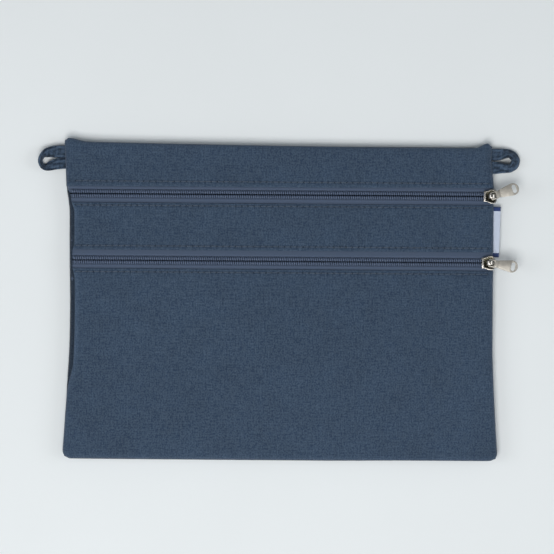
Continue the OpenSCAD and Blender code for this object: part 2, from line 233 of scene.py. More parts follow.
def ripples(x, y):
    """Soft ripples of cloth that lies without tension"""
    x, y = x / MM, y / MM
    long_waves = np.sin(x / 31 + 0.9 * np.sin(y / 23)) * np.cos(y / 27 - 0.6 * np.sin(x / 37))
    short_waves = np.sin(x / 13.5 - y / 19 + 1.7) * np.sin(y / 11 + 0.7 * np.sin(x / 17))
    return sizes().ripple * (long_waves + 0.45 * short_waves)


def puckers(q, seed):
    """Uneven little puckers along a seam, q being the distance along it"""
    q = q / MM
    wander = 1.4 * np.sin(q / 9.7 + seed) + 0.9 * np.sin(q / 23 + 2 * seed)
    waves = np.sin(2 * np.pi * q / 5.1 + wander) + 0.4 * np.sin(q / 1.9 + 3 * seed)
    return sizes().pucker * waves


def stitch_rows():
    """Height of each stitch row, from the frame"""
    names = ["upper_above", "upper_below", "lower_above", "lower_below"]
    return {n: (low(f"topstitch_{n}").y + high(f"topstitch_{n}").y) / 2 for n in names}


def needle(x):
    """1 at a needle hole, -1 at the middle of a stitch"""
    return np.cos(2 * np.pi * (x / STITCH_PITCH + 0.5))


def sewn(x, y):
    """How far the topstitching draws the cloth down at a point"""
    pull = 0.45 + 0.55 * needle(x)
    swell = np.cos(2 * np.pi * x / STITCH_PITCH + 0.8 * np.sin(x / (8 * MM)))
    depth = 0
    for row_y in stitch_rows().values():
        depth = depth + 0.3 * MM * pull * hump(y, row_y, 0.5 * MM)
        depth = depth + 0.06 * MM * swell * hump(y, row_y, 1.4 * MM)
    return depth


def corner_folds(x, y):
    """The soft valley and ridge beside the right ear, and a faint one beside the left"""
    fade = smooth_step((y - 66 * MM) / (14 * MM))
    valley = -0.75 * hump(x, 103.5 * MM, 2.2 * MM) + 0.45 * hump(x, 110 * MM, 4 * MM)
    left = 0.3 * hump(x, -109 * MM, 4 * MM) - 0.25 * hump(x, -101 * MM, 3 * MM)
    return fade * (valley + left) * MM


def ear(inward, peak, outer, inner):
    """A hump with its own width on each side of its peak"""
    return hump(inward, peak, np.where(inward < peak, outer, inner))


def corner_depths(a, b, radius, zone):
    """Moves points near a corner from a square grid on to lines that run round it.
    a and b are the distances from the side and from the end."""
    depth = np.minimum(a, b)
    inside = (a < zone) & (b < zone)
    reach = zone - depth
    run = np.abs(a - b)
    bend = np.maximum(radius - depth, 0)
    quarter = bend * math.pi / 4
    length = np.where(reach > 0, run / np.maximum(reach, 1e-9) * (quarter + reach - bend), 0)
    angle = np.where(bend > 0, np.minimum(length, quarter) / np.maximum(bend, 1e-9), math.pi / 4)
    straight = np.maximum(length - quarter, 0)
    # Measured from the arc's middle towards the end's straight edge
    along = depth + bend - bend * np.sin(math.pi / 4 - angle) + straight
    across = depth + bend - bend * np.cos(math.pi / 4 - angle)
    end_first = a >= b
    new_a = np.where(end_first, along, across)
    new_b = np.where(end_first, across, along)
    return np.where(inside, new_a, a), np.where(inside, new_b, b)


def spread(start, stop, step, extra=(), gap=0.14 * MM):
    """Even values from start to stop with more of them added where detail needs them"""
    count = max(2, int(round((stop - start) / step)) + 1)
    kept = sorted([start, stop, *[e for e in extra if start < e < stop]])
    for value in np.linspace(start, stop, count):
        if min(abs(value - k) for k in kept) > 0.45 * step:
            kept.append(float(value))
    kept.sort()
    result = [kept[0]]
    for value in kept[1:]:
        if value - result[-1] > gap:
            result.append(value)
    return result


def edge_steps(count):
    """Shares of the way from a seam to the flat, closer together at the seam"""
    return (np.arange(count + 1) / count) ** 1.5


def roll_share(angle):
    """Distance in from the outline, as a share of the roll, at an angle round the edge"""
    return 1 - np.clip(np.cos(angle), 0, 1) ** (2 / FULLNESS)


def shell_grid(y_low, y_high, up, closed_low, closed_high, columns, row_step):
    """Outer face of one cloth of the case, as rows of points from left to right, and its wear and
    shading: paler edges that are partly worn and partly painted highlight, and painted shade in
    creases and folds.
    up is True for the front and False for the back; a closed end rolls over to a seam."""
    s = sizes()
    open_edges = [] if closed_low else [(y_low, 1)]
    open_edges += [] if closed_high else [(y_high, -1)]
    steps = edge_steps(9 if up else 13)
    flat_angle = math.pi / 2 if up else -math.pi / 2
    end_angles = flat_angle * edge_steps(8)[:-1]

    # Rows, with their distance in from a closed end
    first, last = y_low, y_high
    rows = []
    if closed_low:
        rows += [y_low + s.bottom_roll * roll_share(a) for a in end_angles]
        first = y_low + s.bottom_roll
    if closed_high:
        last = y_high - s.top_roll
    extra = [edge_y + way * e * MM for edge_y, way in open_edges for e in (0.1, 0.25, 0.5, 0.9)]
    if up:
        offsets = (-1.6, -0.9, -0.45, 0, 0.45, 0.9, 1.6)
        extra += [row_y + o * MM for row_y in stitch_rows().values() for o in offsets]
    rows += spread(first, last, row_step, extra)
    if closed_high:
        rows += [y_high - s.top_roll * roll_share(a) for a in reversed(end_angles)]
    y = np.array(rows)[:, None]

    # Columns: angles round the left edge, the flat, and angles round the right edge
    roll = side_roll(y)
    left = seam_angle(y) + (flat_angle - seam_angle(y)) * steps[None, :]
    right = flat_angle * steps[None, ::-1] + 0 * y
    half, west = half_right(y), half_left(y)
    shares = np.linspace(0, 1, columns + 1)[None, 1:-1]
    x = np.hstack([
        -west + roll * roll_share(left),
        -west + roll + shares * (west + half - 2 * roll),
        half - roll * roll_share(right),
    ])
    middle = np.full((len(rows), columns - 1), flat_angle)
    angle = np.hstack([left, middle, right])
    y = np.repeat(y, x.shape[1], axis=1)
    seam = np.hstack([left * 0 + seam_angle(y[:, :1]), middle * 0, right * 0])

    # Round the corners in plan
    edge = np.where(x < 0, -west, half)
    outward = np.sign(edge)
    side_in = np.abs(edge - x)
    low_in = y - y_low if closed_low else np.full_like(y, 1.0)
    high_in = y_high - y if closed_high else np.full_like(y, 1.0)
    end_share = np.minimum(
        np.clip(low_in / s.bottom_roll, 0, 1), np.clip(high_in / s.top_roll, 0, 1))
    side_share = np.clip(side_in / roll, 0, 1)
    if closed_low:
        moved_a, moved_b = corner_depths(side_in, low_in, *BOTTOM_CORNER)
        x = edge - outward * moved_a
        y = y_low + moved_b
    if closed_high:
        moved_a, moved_b = corner_depths(np.abs(edge - x), high_in, *TOP_CORNER)
        x = np.where(high_in < 9 * MM, edge - outward * moved_a, x)
        y = np.where(high_in < 9 * MM, y_high - moved_b, y)

    # Height: both rolls meet smoothly at the corners
    power = 8
    both = (side_share ** power + end_share ** power) ** (1 / power)
    share = side_share * end_share / np.maximum(both, 1e-9)
    upper = angle > 0 if not up else np.ones_like(angle, bool)
    full = rise(share)
    height = np.where(upper, FRONT_Z - SEAM_Z, -SEAM_Z)
    z = SEAM_Z + height * full

    # The flat carries ripples, stitching and folds; the edges carry puckers
    if up:
        z = z + full ** 3 * (ripples(x, y) - sewn(x, y) + corner_folds(x, y))
        for edge_y, way in open_edges:
            inward = np.clip(way * (y - edge_y) / (0.8 * MM), 0, 1)
            z = z - 0.42 * MM * (1 - np.sqrt(1 - (1 - inward) ** 2))
            waves = np.sin(x / (17 * MM) + 40 * edge_y / MM) + 0.5 * np.sin(x / (6.3 * MM))
            z = z + 0.05 * MM * waves * (1 - smooth_step(way * (y - edge_y) / (4 * MM)))
    else:
        z = z + np.where(upper, 0, full ** 3 * (np.abs(ripples(x, -y)) * 0.7))
    side_arc = np.abs(angle - seam) * ROLL_ARC
    end_arc = end_share * ROLL_ARC
    side_crease = np.exp(-((side_arc / (0.5 * MM)) ** 2))
    end_crease = np.exp(-((end_arc / (0.4 * MM)) ** 2))
    near_side = np.exp(-side_arc / (3.2 * MM)) * (1 - side_crease)
    near_end = np.exp(-end_arc / (3 * MM)) * (1 - end_crease)
    swell = puckers(y, 1.0 if up else 2.3) * near_side + puckers(x, 4.1 if up else 5.2) * near_end
    z = z + swell * (1 if up else -1) * (1 - 0.7 * full) * 1.6
    inward = s.groove * side_crease + 0.35 * swell * near_side
    x = x - outward * inward * np.cos(angle)
    z = z - inward * np.sin(angle)
    mid_y = (y_low + y_high) / 2
    y = y - np.sign(y - mid_y) * s.groove * end_crease

    # The top corners stand up as ears, and the top edge falls a little to the right
    if closed_high:
        from_top = np.clip(1 - (y_high - y) / (7 * MM), 0, 1.1) ** 1.6
        left_in = x + TOP_X + 2 * MM
        right_in = TOP_X - RIGHT_DRAW_IN - x
        left_ear = s.left_ear * ear(left_in, 2.6 * MM, 2.2 * MM, 6.5 * MM)
        right_ear = s.right_ear * ear(right_in, 3 * MM, 2.6 * MM, 4 * MM)
        slope = -1.1 * MM * x / TOP_X - 0.5 * MM * (1 - (x / TOP_X) ** 2)
        y = y + from_top * (left_ear + right_ear) + slope * smooth_step((y - 65 * MM) / (20 * MM))
        low_left = 1 - smooth_step((x - 20 * MM) / (70 * MM))
        y = y - 0.45 * MM * low_left * (1 - smooth_step((y - y_low) / (3 * MM)))
    if closed_low:
        bow = -0.15 * MM * (1 - (x / BOTTOM_X) ** 2)
        y = y + bow * smooth_step((y_low + 12 * MM - y) / (12 * MM))

    # Paler towards the rolled and open edges, partly wear and partly painted highlight where the
    # edges turn to the lights; painted shade in the seam crease
    wear_and_shading = np.exp(-side_arc / (1.6 * MM)) * (1 - side_crease)
    wear_and_shading = wear_and_shading + np.exp(-end_arc / (1.4 * MM)) * (1 - end_crease)
    for edge_y, _ in open_edges:
        wear_and_shading = wear_and_shading + 0.35 * np.exp(-np.abs(y - edge_y) / (0.35 * MM))
    wear_and_shading = np.clip(wear_and_shading, 0, 1) - 0.8 * side_crease
    if up:
        # The needle holes get painted shade
        for row_y in stitch_rows().values():
            wear_and_shading = wear_and_shading - (0.5 + 0.5 * needle(x)) ** 2 * hump(y, row_y, 0.65 * MM)
    else:
        # The strip of the back that is rolled to the front gets painted shade, as it lies in the
        # fold
        rolled = (x < 0) & (angle > 0.1) & (seam > 0.2)
        wear_and_shading = np.where(rolled, -0.9, wear_and_shading)
    return np.stack([x, y, z], axis=-1), np.clip(wear_and_shading, -1, 1)


# Making meshes


def only(*objects):
    """Selects these objects and nothing else"""
    bpy.ops.object.select_all(action="DESELECT")
    for obj in objects:
        obj.select_set(True)
    bpy.context.view_layer.objects.active = objects[0]


def smooth(obj):
    only(obj)
    bpy.ops.object.shade_smooth()


def face_outward(obj):
    """Turns all of a closed mesh's faces outwards"""
    only(obj)
    bpy.ops.object.mode_set(mode="EDIT")
    bpy.ops.mesh.select_all(action="SELECT")
    bpy.ops.mesh.normals_make_consistent(inside=False)
    bpy.ops.object.mode_set(mode="OBJECT")


def apply_modifiers(obj):
    only(obj)
    for modifier in list(obj.modifiers):
        bpy.ops.object.modifier_apply(modifier=modifier.name)


def bevel(obj, width, segments=2, angle=40):
    modifier = obj.modifiers.new("Rounded edges", "BEVEL")
    modifier.width = width
    modifier.segments = segments
    modifier.limit_method = "ANGLE"
    modifier.angle_limit = math.radians(angle)
    apply_modifiers(obj)


def soften(obj, angle=35):
    only(obj)
    bpy.ops.object.shade_smooth_by_angle(angle=math.radians(angle))


def mesh_object(name, points, faces, uv, wear_and_shading):
    """A new mesh that carries its places along the cloth and its wear and shading: wear, painted
    highlight and painted shade
    """
    mesh = bpy.data.meshes.new(name)
    mesh.from_pydata(points.reshape(-1, 3).tolist(), [], faces)
    corner_points = np.empty(len(mesh.loops), int)
    mesh.loops.foreach_get("vertex_index", corner_points)
    layer = mesh.uv_layers.new(name="weave")
    layer.data.foreach_set("uv", uv.reshape(-1, 2)[corner_points].ravel().astype(np.float32))
    attribute = mesh.attributes.new("wear_and_shading", "FLOAT", "POINT")
    attribute.data.foreach_set("value", wear_and_shading.ravel().astype(np.float32))
    obj = bpy.data.objects.new(name, mesh)
    bpy.context.scene.collection.objects.link(obj)
    return obj


def cloth_piece(name, grid, thickness, wear_and_shading=None, outward_up=True, rounding=0.3):
    """A sheet of cloth through a grid of points on its outer face"""
    rows, columns = grid.shape[:2]
    index = np.arange(rows * columns).reshape(rows, columns)
    corners = [index[:-1, :-1], index[:-1, 1:], index[1:, 1:], index[1:, :-1]]
    if not outward_up:
        corners.reverse()
    faces = np.stack(corners, axis=-1).reshape(-1, 4).tolist()

    # The weave follows lengths measured along the cloth
    across = np.linalg.norm(np.diff(grid, axis=1), axis=-1)
    along = np.linalg.norm(np.diff(grid, axis=0), axis=-1)
    u = np.hstack([np.zeros((rows, 1)), np.cumsum(across, axis=1)])
    u -= u[:, columns // 2:columns // 2 + 1]
    v = np.vstack([np.zeros((1, columns)), np.cumsum(along, axis=0)])
    v -= v[rows // 2:rows // 2 + 1, :]
    wear_and_shading = np.zeros_like(u) if wear_and_shading is None else wear_and_shading
    obj = mesh_object(name, grid, faces, np.stack([u, v], axis=-1), wear_and_shading)
    solid = obj.modifiers.new("Thickness", "SOLIDIFY")
    solid.thickness = thickness
    solid.offset = -1
    solid.use_even_offset = False
    solid.use_rim = True
    apply_modifiers(obj)
    if rounding:
        bevel(obj, rounding * thickness, 2, 60)
    smooth(obj)
    return obj


def plate(name, outline, depth, rounding=0.0, segments=2, angle=40):
    """A flat plate: a disc whose rim is moved on to an outline in the XY plane, then extruded up"""
    bpy.ops.object.select_all(action="DESELECT")
    bpy.ops.mesh.primitive_circle_add(vertices=len(outline), radius=MM, fill_type="NGON")
    obj = bpy.context.object
    obj.name = obj.data.name = name
    for vertex, (x, y) in zip(obj.data.vertices, outline):
        vertex.co = (x, y, 0)
    bpy.ops.object.mode_set(mode="EDIT")
    bpy.ops.mesh.select_all(action="SELECT")
    bpy.ops.mesh.normals_make_consistent(inside=False)
    bpy.ops.mesh.extrude_region_move(TRANSFORM_OT_translate={"value": (0, 0, depth)})
    bpy.ops.mesh.select_all(action="SELECT")
    bpy.ops.mesh.normals_make_consistent(inside=False)
    bpy.ops.object.mode_set(mode="OBJECT")
    if rounding:
        bevel(obj, rounding, segments, angle)
    return obj


def place(obj, matrix):
    """Puts an object's place into its mesh"""
    obj.matrix_world = matrix @ obj.matrix_world
    bpy.context.view_layer.update()
    only(obj)
    bpy.ops.object.transform_apply(location=True, rotation=True, scale=True)
    return obj


def move(obj, x, y, z):
    return place(obj, Matrix.Translation((x, y, z)))


def joined(name, objects):
    only(*objects)
    if len(objects) > 1:
        bpy.ops.object.join()
    obj = bpy.context.object
    obj.name = obj.data.name = name
    return obj


def cut(obj, cutter):
    modifier = obj.modifiers.new("Opening", "BOOLEAN")
    modifier.operation = "DIFFERENCE"
    modifier.solver = "EXACT"
    modifier.object = cutter
    apply_modifiers(obj)
    bpy.data.objects.remove(cutter)
    return obj


def wire(name, points, radius, radii=None, sections=2):
    """A closed tube along a smooth path of five points"""
    bpy.ops.object.select_all(action="DESELECT")
    bpy.ops.curve.primitive_nurbs_path_add()
    obj = bpy.context.object
    curve = obj.data
    curve.bevel_depth = radius
    curve.bevel_resolution = 1
    curve.use_fill_caps = True
    curve.resolution_u = sections
    spline = curve.splines[0]
    spline.order_u = 3
    for i, (target, point) in enumerate(zip(spline.points, points)):
        target.co = (*point, 1)
        target.radius = 1 if radii is None else radii[i]
    bpy.ops.object.convert(target="MESH")
    obj = bpy.context.object
    obj.name = obj.data.name = name
    bpy.ops.object.mode_set(mode="EDIT")
    bpy.ops.mesh.select_all(action="SELECT")
    bpy.ops.mesh.remove_doubles(threshold=1e-6)
    bpy.ops.mesh.normals_make_consistent(inside=False)
    bpy.ops.object.mode_set(mode="OBJECT")
    return obj


def repeat(obj, count, pitch):
    """Copies a shape along X"""
    modifier = obj.modifiers.new("Repeat", "ARRAY")
    modifier.count = count
    modifier.use_relative_offset = False
    modifier.use_constant_offset = True
    modifier.constant_offset_displace = (pitch, 0, 0)
    apply_modifiers(obj)
    return obj


def points_of(obj):
    co = np.empty(len(obj.data.vertices) * 3)
    obj.data.vertices.foreach_get("co", co)
    return co.reshape(-1, 3)


def set_points(obj, co):
    obj.data.vertices.foreach_set("co", co.ravel())
    obj.data.update()


def finish_piece(obj, material, body, nodes):
    """Gives a piece its material and body, and hides the CAD parts that it stands for"""
    obj.data.materials.clear()
    obj.data.materials.append(material)
    if body:
        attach(obj, body)
    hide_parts(*nodes)
    return obj


# Materials


class Recipe:
    """A material's nodes, added one by one"""

    def __init__(self, name):
        self.material = bpy.data.materials.get(name) or bpy.data.materials.new(name)
        self.material.use_nodes = True
        self.tree = self.material.node_tree
        self.shader = self.tree.nodes["Principled BSDF"]

    def add(self, kind, inputs=None, **settings):
        node = self.tree.nodes.new(kind)
        for key, value in settings.items():
            setattr(node, key, value)
        for key, value in (inputs or {}).items():
            self.put(node.inputs[key], value)
        return node

    def put(self, socket, value):
        if isinstance(value, bpy.types.NodeSocket):
            self.tree.links.new(value, socket)
        else:
            socket.default_value = value

    def math(self, operation, a, b=0.0):
        return self.add("ShaderNodeMath", {0: a, 1: b}, operation=operation).outputs[0]

    def plus(self, a, b):
        return self.math("ADD", a, b)

    def times(self, a, b):
        return self.math("MULTIPLY", a, b)

    def wave(self, value, length):
        """A sine wave along a length"""
        return self.math("SINE", self.times(value, 2 * math.pi / length))

    def split(self, vector):
        return self.add("ShaderNodeSeparateXYZ", {0: vector}).outputs

    # Per-point wear and shading: above nought paler, partly wear and partly painted highlight;
    # below nought painted shade
    def wear_and_shading(self):
        return self.add("ShaderNodeAttribute", attribute_name="wear_and_shading").outputs["Fac"]

    def range(self, value, low_in, high_in, low_out, high_out):
        names = ("Value", "From Min", "From Max", "To Min", "To Max")
        values = (value, low_in, high_in, low_out, high_out)
        return self.add("ShaderNodeMapRange", dict(zip(names, values))).outputs[0]

    def vary(self, noise, least, most):
        """Stretches a noise to go from least to most"""
        return self.range(noise, 0.3, 0.7, least, most)

    def painted_shade(self, shade, wear_and_shading):
        """Darkens a shade where the wear and shading is below nought: painted shade in creases,
        folds, grooves and needle holes
        """
        return self.times(shade, self.range(wear_and_shading, -1, 0, 0.4, 1.0))

    def mix(self, factor, a, b, blend="MIX"):
        node = self.add("ShaderNodeMix", data_type="RGBA", blend_type=blend)
        self.put(node.inputs[0], factor)
        for socket, value in ((node.inputs[6], a), (node.inputs[7], b)):
            self.put(socket, value if isinstance(value, bpy.types.NodeSocket) else (*value, 1))
        return node.outputs[2]

    def tint(self, base, red, green=None, blue=None):
        """Multiplies a colour by a number, or by one for each channel"""
        parts = {0: red, 1: green or red, 2: blue or red}
        factor = self.add("ShaderNodeCombineColor", parts).outputs[0]
        return self.mix(1.0, base, factor, "MULTIPLY")

    def scaled(self, vector, scale):
        node = self.add("ShaderNodeMapping", {"Vector": vector})
        node.inputs["Scale"].default_value = scale
        return node.outputs[0]

    def noise(self, vector, scale, detail=3.0, roughness=0.55):
        node = self.add("ShaderNodeTexNoise", {
            "Vector": vector, "Scale": scale, "Detail": detail, "Roughness": roughness})
        return node.outputs["Fac"]

    def bump(self, height, distance, strength=1.0, normal=None):
        node = self.add("ShaderNodeBump", {
            "Height": height, "Distance": distance, "Strength": strength})
        if normal is not None:
            self.put(node.inputs["Normal"], normal)
        return node.outputs[0]

    def cloth_place(self):
        return self.add("ShaderNodeUVMap", uv_map="weave").outputs[0]

    def object_place(self):
        return self.add("ShaderNodeTexCoord").outputs["Object"]

    def done(self, base, rough, normal, **fixed):
        self.put(self.shader.inputs["Base Color"], base)
        self.put(self.shader.inputs["Roughness"], rough)
        self.put(self.shader.inputs["Normal"], normal)
        for name, value in fixed.items():
            self.shader.inputs[name.replace("_", " ")].default_value = value
        return self.material


def woven(name, warp, weft, pitch, weave_depth=0.035 * MM, contrast=1.0, worn_and_lit=0.35, sheen=0.14):
    """Plain-woven cotton: two thread colours, slubs, mottling, paler edges that are partly worn and
    partly painted highlight, and painted shade in creases and folds
    """
    r = Recipe(name)
    here = r.cloth_place()
    in_threads = r.scaled(here, (1 / pitch, 1 / pitch, 1))
    across, along, _ = r.split(in_threads)
    warp_round = r.math("ABSOLUTE", r.wave(across, 2))
    weft_round = r.math("ABSOLUTE", r.wave(along, 2))
    over = r.add("ShaderNodeTexChecker", {
        "Vector": in_threads, "Scale": 1.0, "Color1": (1, 1, 1, 1), "Color2": (0, 0, 0, 1),
    }).outputs["Fac"]
    under = r.math("SUBTRACT", 1.0, over)

    def by_thread(on_warp, on_weft):
        return r.plus(r.times(over, on_warp), r.times(under, on_weft))

    warp_slub = r.noise(r.scaled(here, (0.9 / pitch, 70, 1)), 1.0, 2.0)
    weft_slub = r.noise(r.scaled(here, (55, 0.9 / pitch, 1)), 1.0, 2.0)
    thread = by_thread(warp_slub, weft_slub)
    mottle = r.noise(here, 55.0, 5.0, 0.6)
    cloud = r.noise(here, 14.0, 2.0)
    # Heather: light and dark flecks about as wide as two threads, and longer slubs both ways
    fleck = r.noise(r.scaled(here, (1250, 1000, 1)), 1.0, 1.0)
    slub_up = r.noise(r.scaled(here, (1050, 190, 1)), 1.0, 1.0)
    slub_across = r.noise(r.scaled(here, (210, 1150, 1)), 1.0, 1.0)
    slubs = r.plus(r.times(slub_up, 0.25), r.times(slub_across, 0.2))
    heather = r.plus(r.times(fleck, 0.55), slubs)
    # Threads run from deeper than the warp to paler than the weft
    past = 0.25 * contrast
    deep = tuple((1 + past) * a - past * b for a, b in zip(warp, weft))
    light = tuple((1 + past) * b - past * a for a, b in zip(warp, weft))
    swing = 0.68 * contrast
    share = r.plus(r.times(under, 0.2), r.range(heather, 0.36, 0.64, 0.4 - swing, 0.4 + swing))
    thread_shade = r.range(thread, 0.25, 0.75, 1 - 0.2 * contrast, 1 + 0.2 * contrast)
    shade = r.times(thread_shade, r.times(r.vary(mottle, 0.94, 1.06), r.vary(cloud, 0.96, 1.04)))
    wear_and_shading = r.wear_and_shading()
    # Painted shade where the wear and shading is below nought
    cloth = r.tint(r.mix(share, deep, light), r.painted_shade(shade, wear_and_shading))
    # Paler where it is above nought: partly wear, partly painted highlight
    worn_and_lit_share = r.times(
        r.math("MAXIMUM", wear_and_shading, 0.0), r.range(mottle, 0.35, 0.65, worn_and_lit * 0.6, worn_and_lit))
    cloth = r.mix(worn_and_lit_share, cloth, tuple(min(1.0, 2.3 * c + 0.02) for c in weft))
    height = r.plus(by_thread(warp_round, weft_round), r.times(thread, 1.2))
    fluff = r.bump(r.noise(here, 900.0, 3.0, 0.7), 0.05 * MM, 0.35)
    return r.done(
        cloth, r.range(mottle, 0.2, 0.8, 0.84, 0.96), r.bump(height, weave_depth, 0.8, fluff),
        Sheen_Weight=sheen, Sheen_Roughness=0.45, Specular_IOR_Level=0.25)


def ribbed(name, ground, pitch):
    """Woven tape: fine ribs along its length, crossed by a herringbone"""
    r = Recipe(name)
    here = r.cloth_place()
    along, across, _ = r.split(here)
    ribs = r.wave(across, pitch)
    bones = r.wave(r.plus(along, r.math("PINGPONG", across, 1.6 * MM)), 0.8 * MM)
    grain = r.noise(here, 1500.0, 2.0)
    mottle = r.noise(here, 90.0, 4.0)
    weave = r.plus(r.times(ribs, 0.5), r.times(bones, 0.5))
    shade = r.times(r.range(weave, -1, 1, 0.88, 1.12), r.vary(mottle, 0.94, 1.06))
    wear_and_shading = r.wear_and_shading()
    # Painted shade where the wear and shading is below nought, as in the sewing grooves
    tape = r.tint(ground, r.painted_shade(shade, wear_and_shading))
    # Paler where it is above nought, along the sewn ridges
    worn_and_lit = r.times(r.math("MAXIMUM", wear_and_shading, 0.0), 0.25)
    tape = r.mix(worn_and_lit, tape, tuple(min(1.0, 1.8 * c + 0.02) for c in ground))
    normal = r.bump(r.plus(weave, grain), 0.03 * MM, 0.8)
    return r.done(
        tape, r.range(mottle, 0.2, 0.8, 0.72, 0.88), normal, Sheen_Weight=0.3,
        Sheen_Roughness=0.4)


def outer_cloth():
    c = colours()
    return woven("outer_cloth_chambray", c.warp, c.weft, 0.42 * MM)


def tape_cloth():
    return ribbed("zip_tape_weave", colours().tape, 0.55 * MM)


def coil_nylon():
    """Glossy monofilament with scuffs"""
    r = Recipe("zip_coil_nylon")
    here = r.object_place()
    scuff = r.noise(here, 900.0, 3.0, 0.6)
    drift = r.noise(here, 60.0, 2.0)
    shade = r.times(r.vary(scuff, 0.9, 1.1), r.vary(drift, 0.95, 1.05))
    return r.done(
        r.tint(colours().coil, shade), r.vary(scuff, 0.3, 0.48), r.bump(scuff, 0.02 * MM, 0.5))


def plated_metal(name, polish=0.0, recess=None, shade=1.0):
    """Satin nickel plate: brushed grain, soft stains and bright rubbed spots. Polish makes it
    glossier, recess gives two heights between which painted shade darkens it downwards, and
    shade below 1 darkens the whole plate as painted shade."""
    r = Recipe(name)
    here = r.object_place()
    brushed = r.noise(r.scaled(here, (300, 2600, 2600)), 1.0, 3.0, 0.6)
    stain = r.noise(here, 380.0, 4.0, 0.6)
    rubbed = r.noise(here, 120.0, 2.0)
    metal = tuple(shade * c for c in colours().metal)
    base = r.mix(r.range(stain, 0.35, 0.7, 0.0, 1.0), metal, tuple(0.86 * c for c in metal))
    base = r.tint(base, r.vary(brushed, 0.95, 1.05))
    gloss = 1 - polish
    rough = r.plus(
        r.vary(stain, 0.24 * gloss, 0.36 * gloss), r.range(rubbed, 0.4, 0.7, 0.0, 0.08))
    if recess:
        # The sunk face gets painted shade, darker downwards, with a little stain variation
        height = r.split(here)[2]
        stain_and_recess_shade = r.plus(
            r.range(height, *recess, 0.10, 1.0), r.range(stain, 0.35, 0.7, -0.04, 0.05))
        base = r.tint(base, stain_and_recess_shade, r.times(stain_and_recess_shade, 0.99), r.math("POWER", stain_and_recess_shade, 1.12))
    normal = r.bump(brushed, 0.006 * MM, 0.6, r.bump(stain, 0.02 * MM, 0.5))
    return r.done(base, rough, normal, Metallic=1.0)


def sewing_thread():
    """Twisted cotton thread"""
    r = Recipe("sewing_thread_twist")
    here = r.object_place()
    x, y, _ = r.split(here)
    twist = r.wave(r.plus(x, r.times(y, 0.8)), 0.32 * MM)
    fuzz = r.noise(here, 2200.0, 3.0)
    shade = r.times(r.range(twist, -1, 1, 0.8, 1.2), r.vary(fuzz, 0.9, 1.15))
    return r.done(
        r.tint(colours().thread, shade), r.vary(fuzz, 0.6, 0.78),
        r.bump(r.plus(twist, fuzz), 0.03 * MM, 0.8), Sheen_Weight=0.2)


def label_satin(y_low, y_high, bar):
    """Woven satin label with a plain bar at each end"""
    r = Recipe("woven_label_satin")
    here = r.object_place()
    x, y, _ = r.split(here)
    fray = r.times(r.math("SUBTRACT", r.noise(here, 2500.0, 2.0), 0.5), 0.25 * MM)
    edge = r.plus(y, fray)
    barred = r.math("MAXIMUM", r.math("GREATER_THAN", edge, y_high - bar),
                    r.math("LESS_THAN", edge, y_low + bar))
    weave = r.plus(r.times(r.wave(y, 0.3 * MM), 0.6), r.times(r.wave(x, 0.38 * MM), 0.4))
    mottle = r.noise(here, 260.0, 3.0)
    base = r.mix(barred, colours().label, colours().label_bar)
    base = r.tint(base, r.times(r.range(weave, -1, 1, 0.95, 1.04), r.vary(mottle, 0.97, 1.03)))
    return r.done(
        base, r.vary(mottle, 0.5, 0.62), r.bump(weave, 0.03 * MM, 0.6), Sheen_Weight=0.3)


# Cloth pieces


def make_shell():
    s = sizes()
    cloth = outer_cloth()
    # For each cloth: its two ends, whether it is at the front, whether each end is closed, and
    # the number of columns and the distance between rows
    pieces = {
        "top_band": (low("top_band").y, TOP_Y, True, False, True, 260, 0.8 * MM),
        "middle_band": (low("middle_band").y, high("middle_band").y, True, False, False, 260,
                        0.9 * MM),
        "lower_panel": (BOTTOM_Y, high("lower_panel").y, True, True, False, 240, 1.05 * MM),
        "back_panel": (BOTTOM_Y, TOP_Y, False, True, True, 170, 1.5 * MM),
    }
    for node, settings in pieces.items():
        y_low, y_high, up, closed_low, closed_high = settings[:5]
        grid, wear_and_shading = shell_grid(*settings)
        piece = cloth_piece(f"{node}_cloth", grid, s.cloth_thickness, wear_and_shading, outward_up=up)
        finish_piece(piece, cloth, "case", [node])


def make_divider():
    """The divider hangs from the upper zip's lower tape, steps down and runs to the bottom"""
    s = sizes()
    thickness = 0.42 * MM
    y_low = low("divider_panel").y
    y_high = high("divider_panel").y
    top_z = high("divider_panel").z
    low_z = low("divider_panel").z + thickness
    step_y = low("upper_zip_tape_bottom").y
    extra = [step_y + o * MM for o in (-2, -1.5, -1, -0.6, -0.2, 0.2, 0.6, 1)]
    rows = np.array(spread(y_low, y_high, 2 * MM, extra))[:, None]
    shares = np.linspace(-1, 1, 161)[None, :]
    inset = s.cloth_thickness + 0.25 * MM
    x = shares * (inner_half(rows) - inset)
    y = np.repeat(rows, x.shape[1], axis=1)
    corner = np.clip(6 * MM - (y - y_low), 0, None)
    x = x * (1 - 0.02 * (corner / (6 * MM)) ** 2)
    step = smooth_step((y - step_y + 1.4 * MM) / (1.6 * MM))
    z = low_z + (top_z - low_z) * step
    z = z + 0.12 * MM * np.sin(x / (21 * MM)) * np.sin(y / (17 * MM)) * (1 - step) - 0.14 * MM
    piece = cloth_piece("divider_cloth_sheet", np.stack([x, y, z], axis=-1), thickness)
    c = colours()
    lining = woven("divider_cloth_poplin", tuple(0.85 * v for v in c.lining), c.lining, 0.3 * MM,
                   0.02 * MM, 0.6, 0.2)
    finish_piece(piece, lining, "case", ["divider_panel"])


def tape_height(x, y):
    """Height of a zip tape's face: flat, then turned down into the side seams"""
    edge = np.where(x < 0, half_left(y), half_right(y))
    share = (edge - TAPE_INSET - np.abs(x)) / TAPE_TURN
    return SEAM_Z + (TAPE_Z - SEAM_Z) * rise(share)


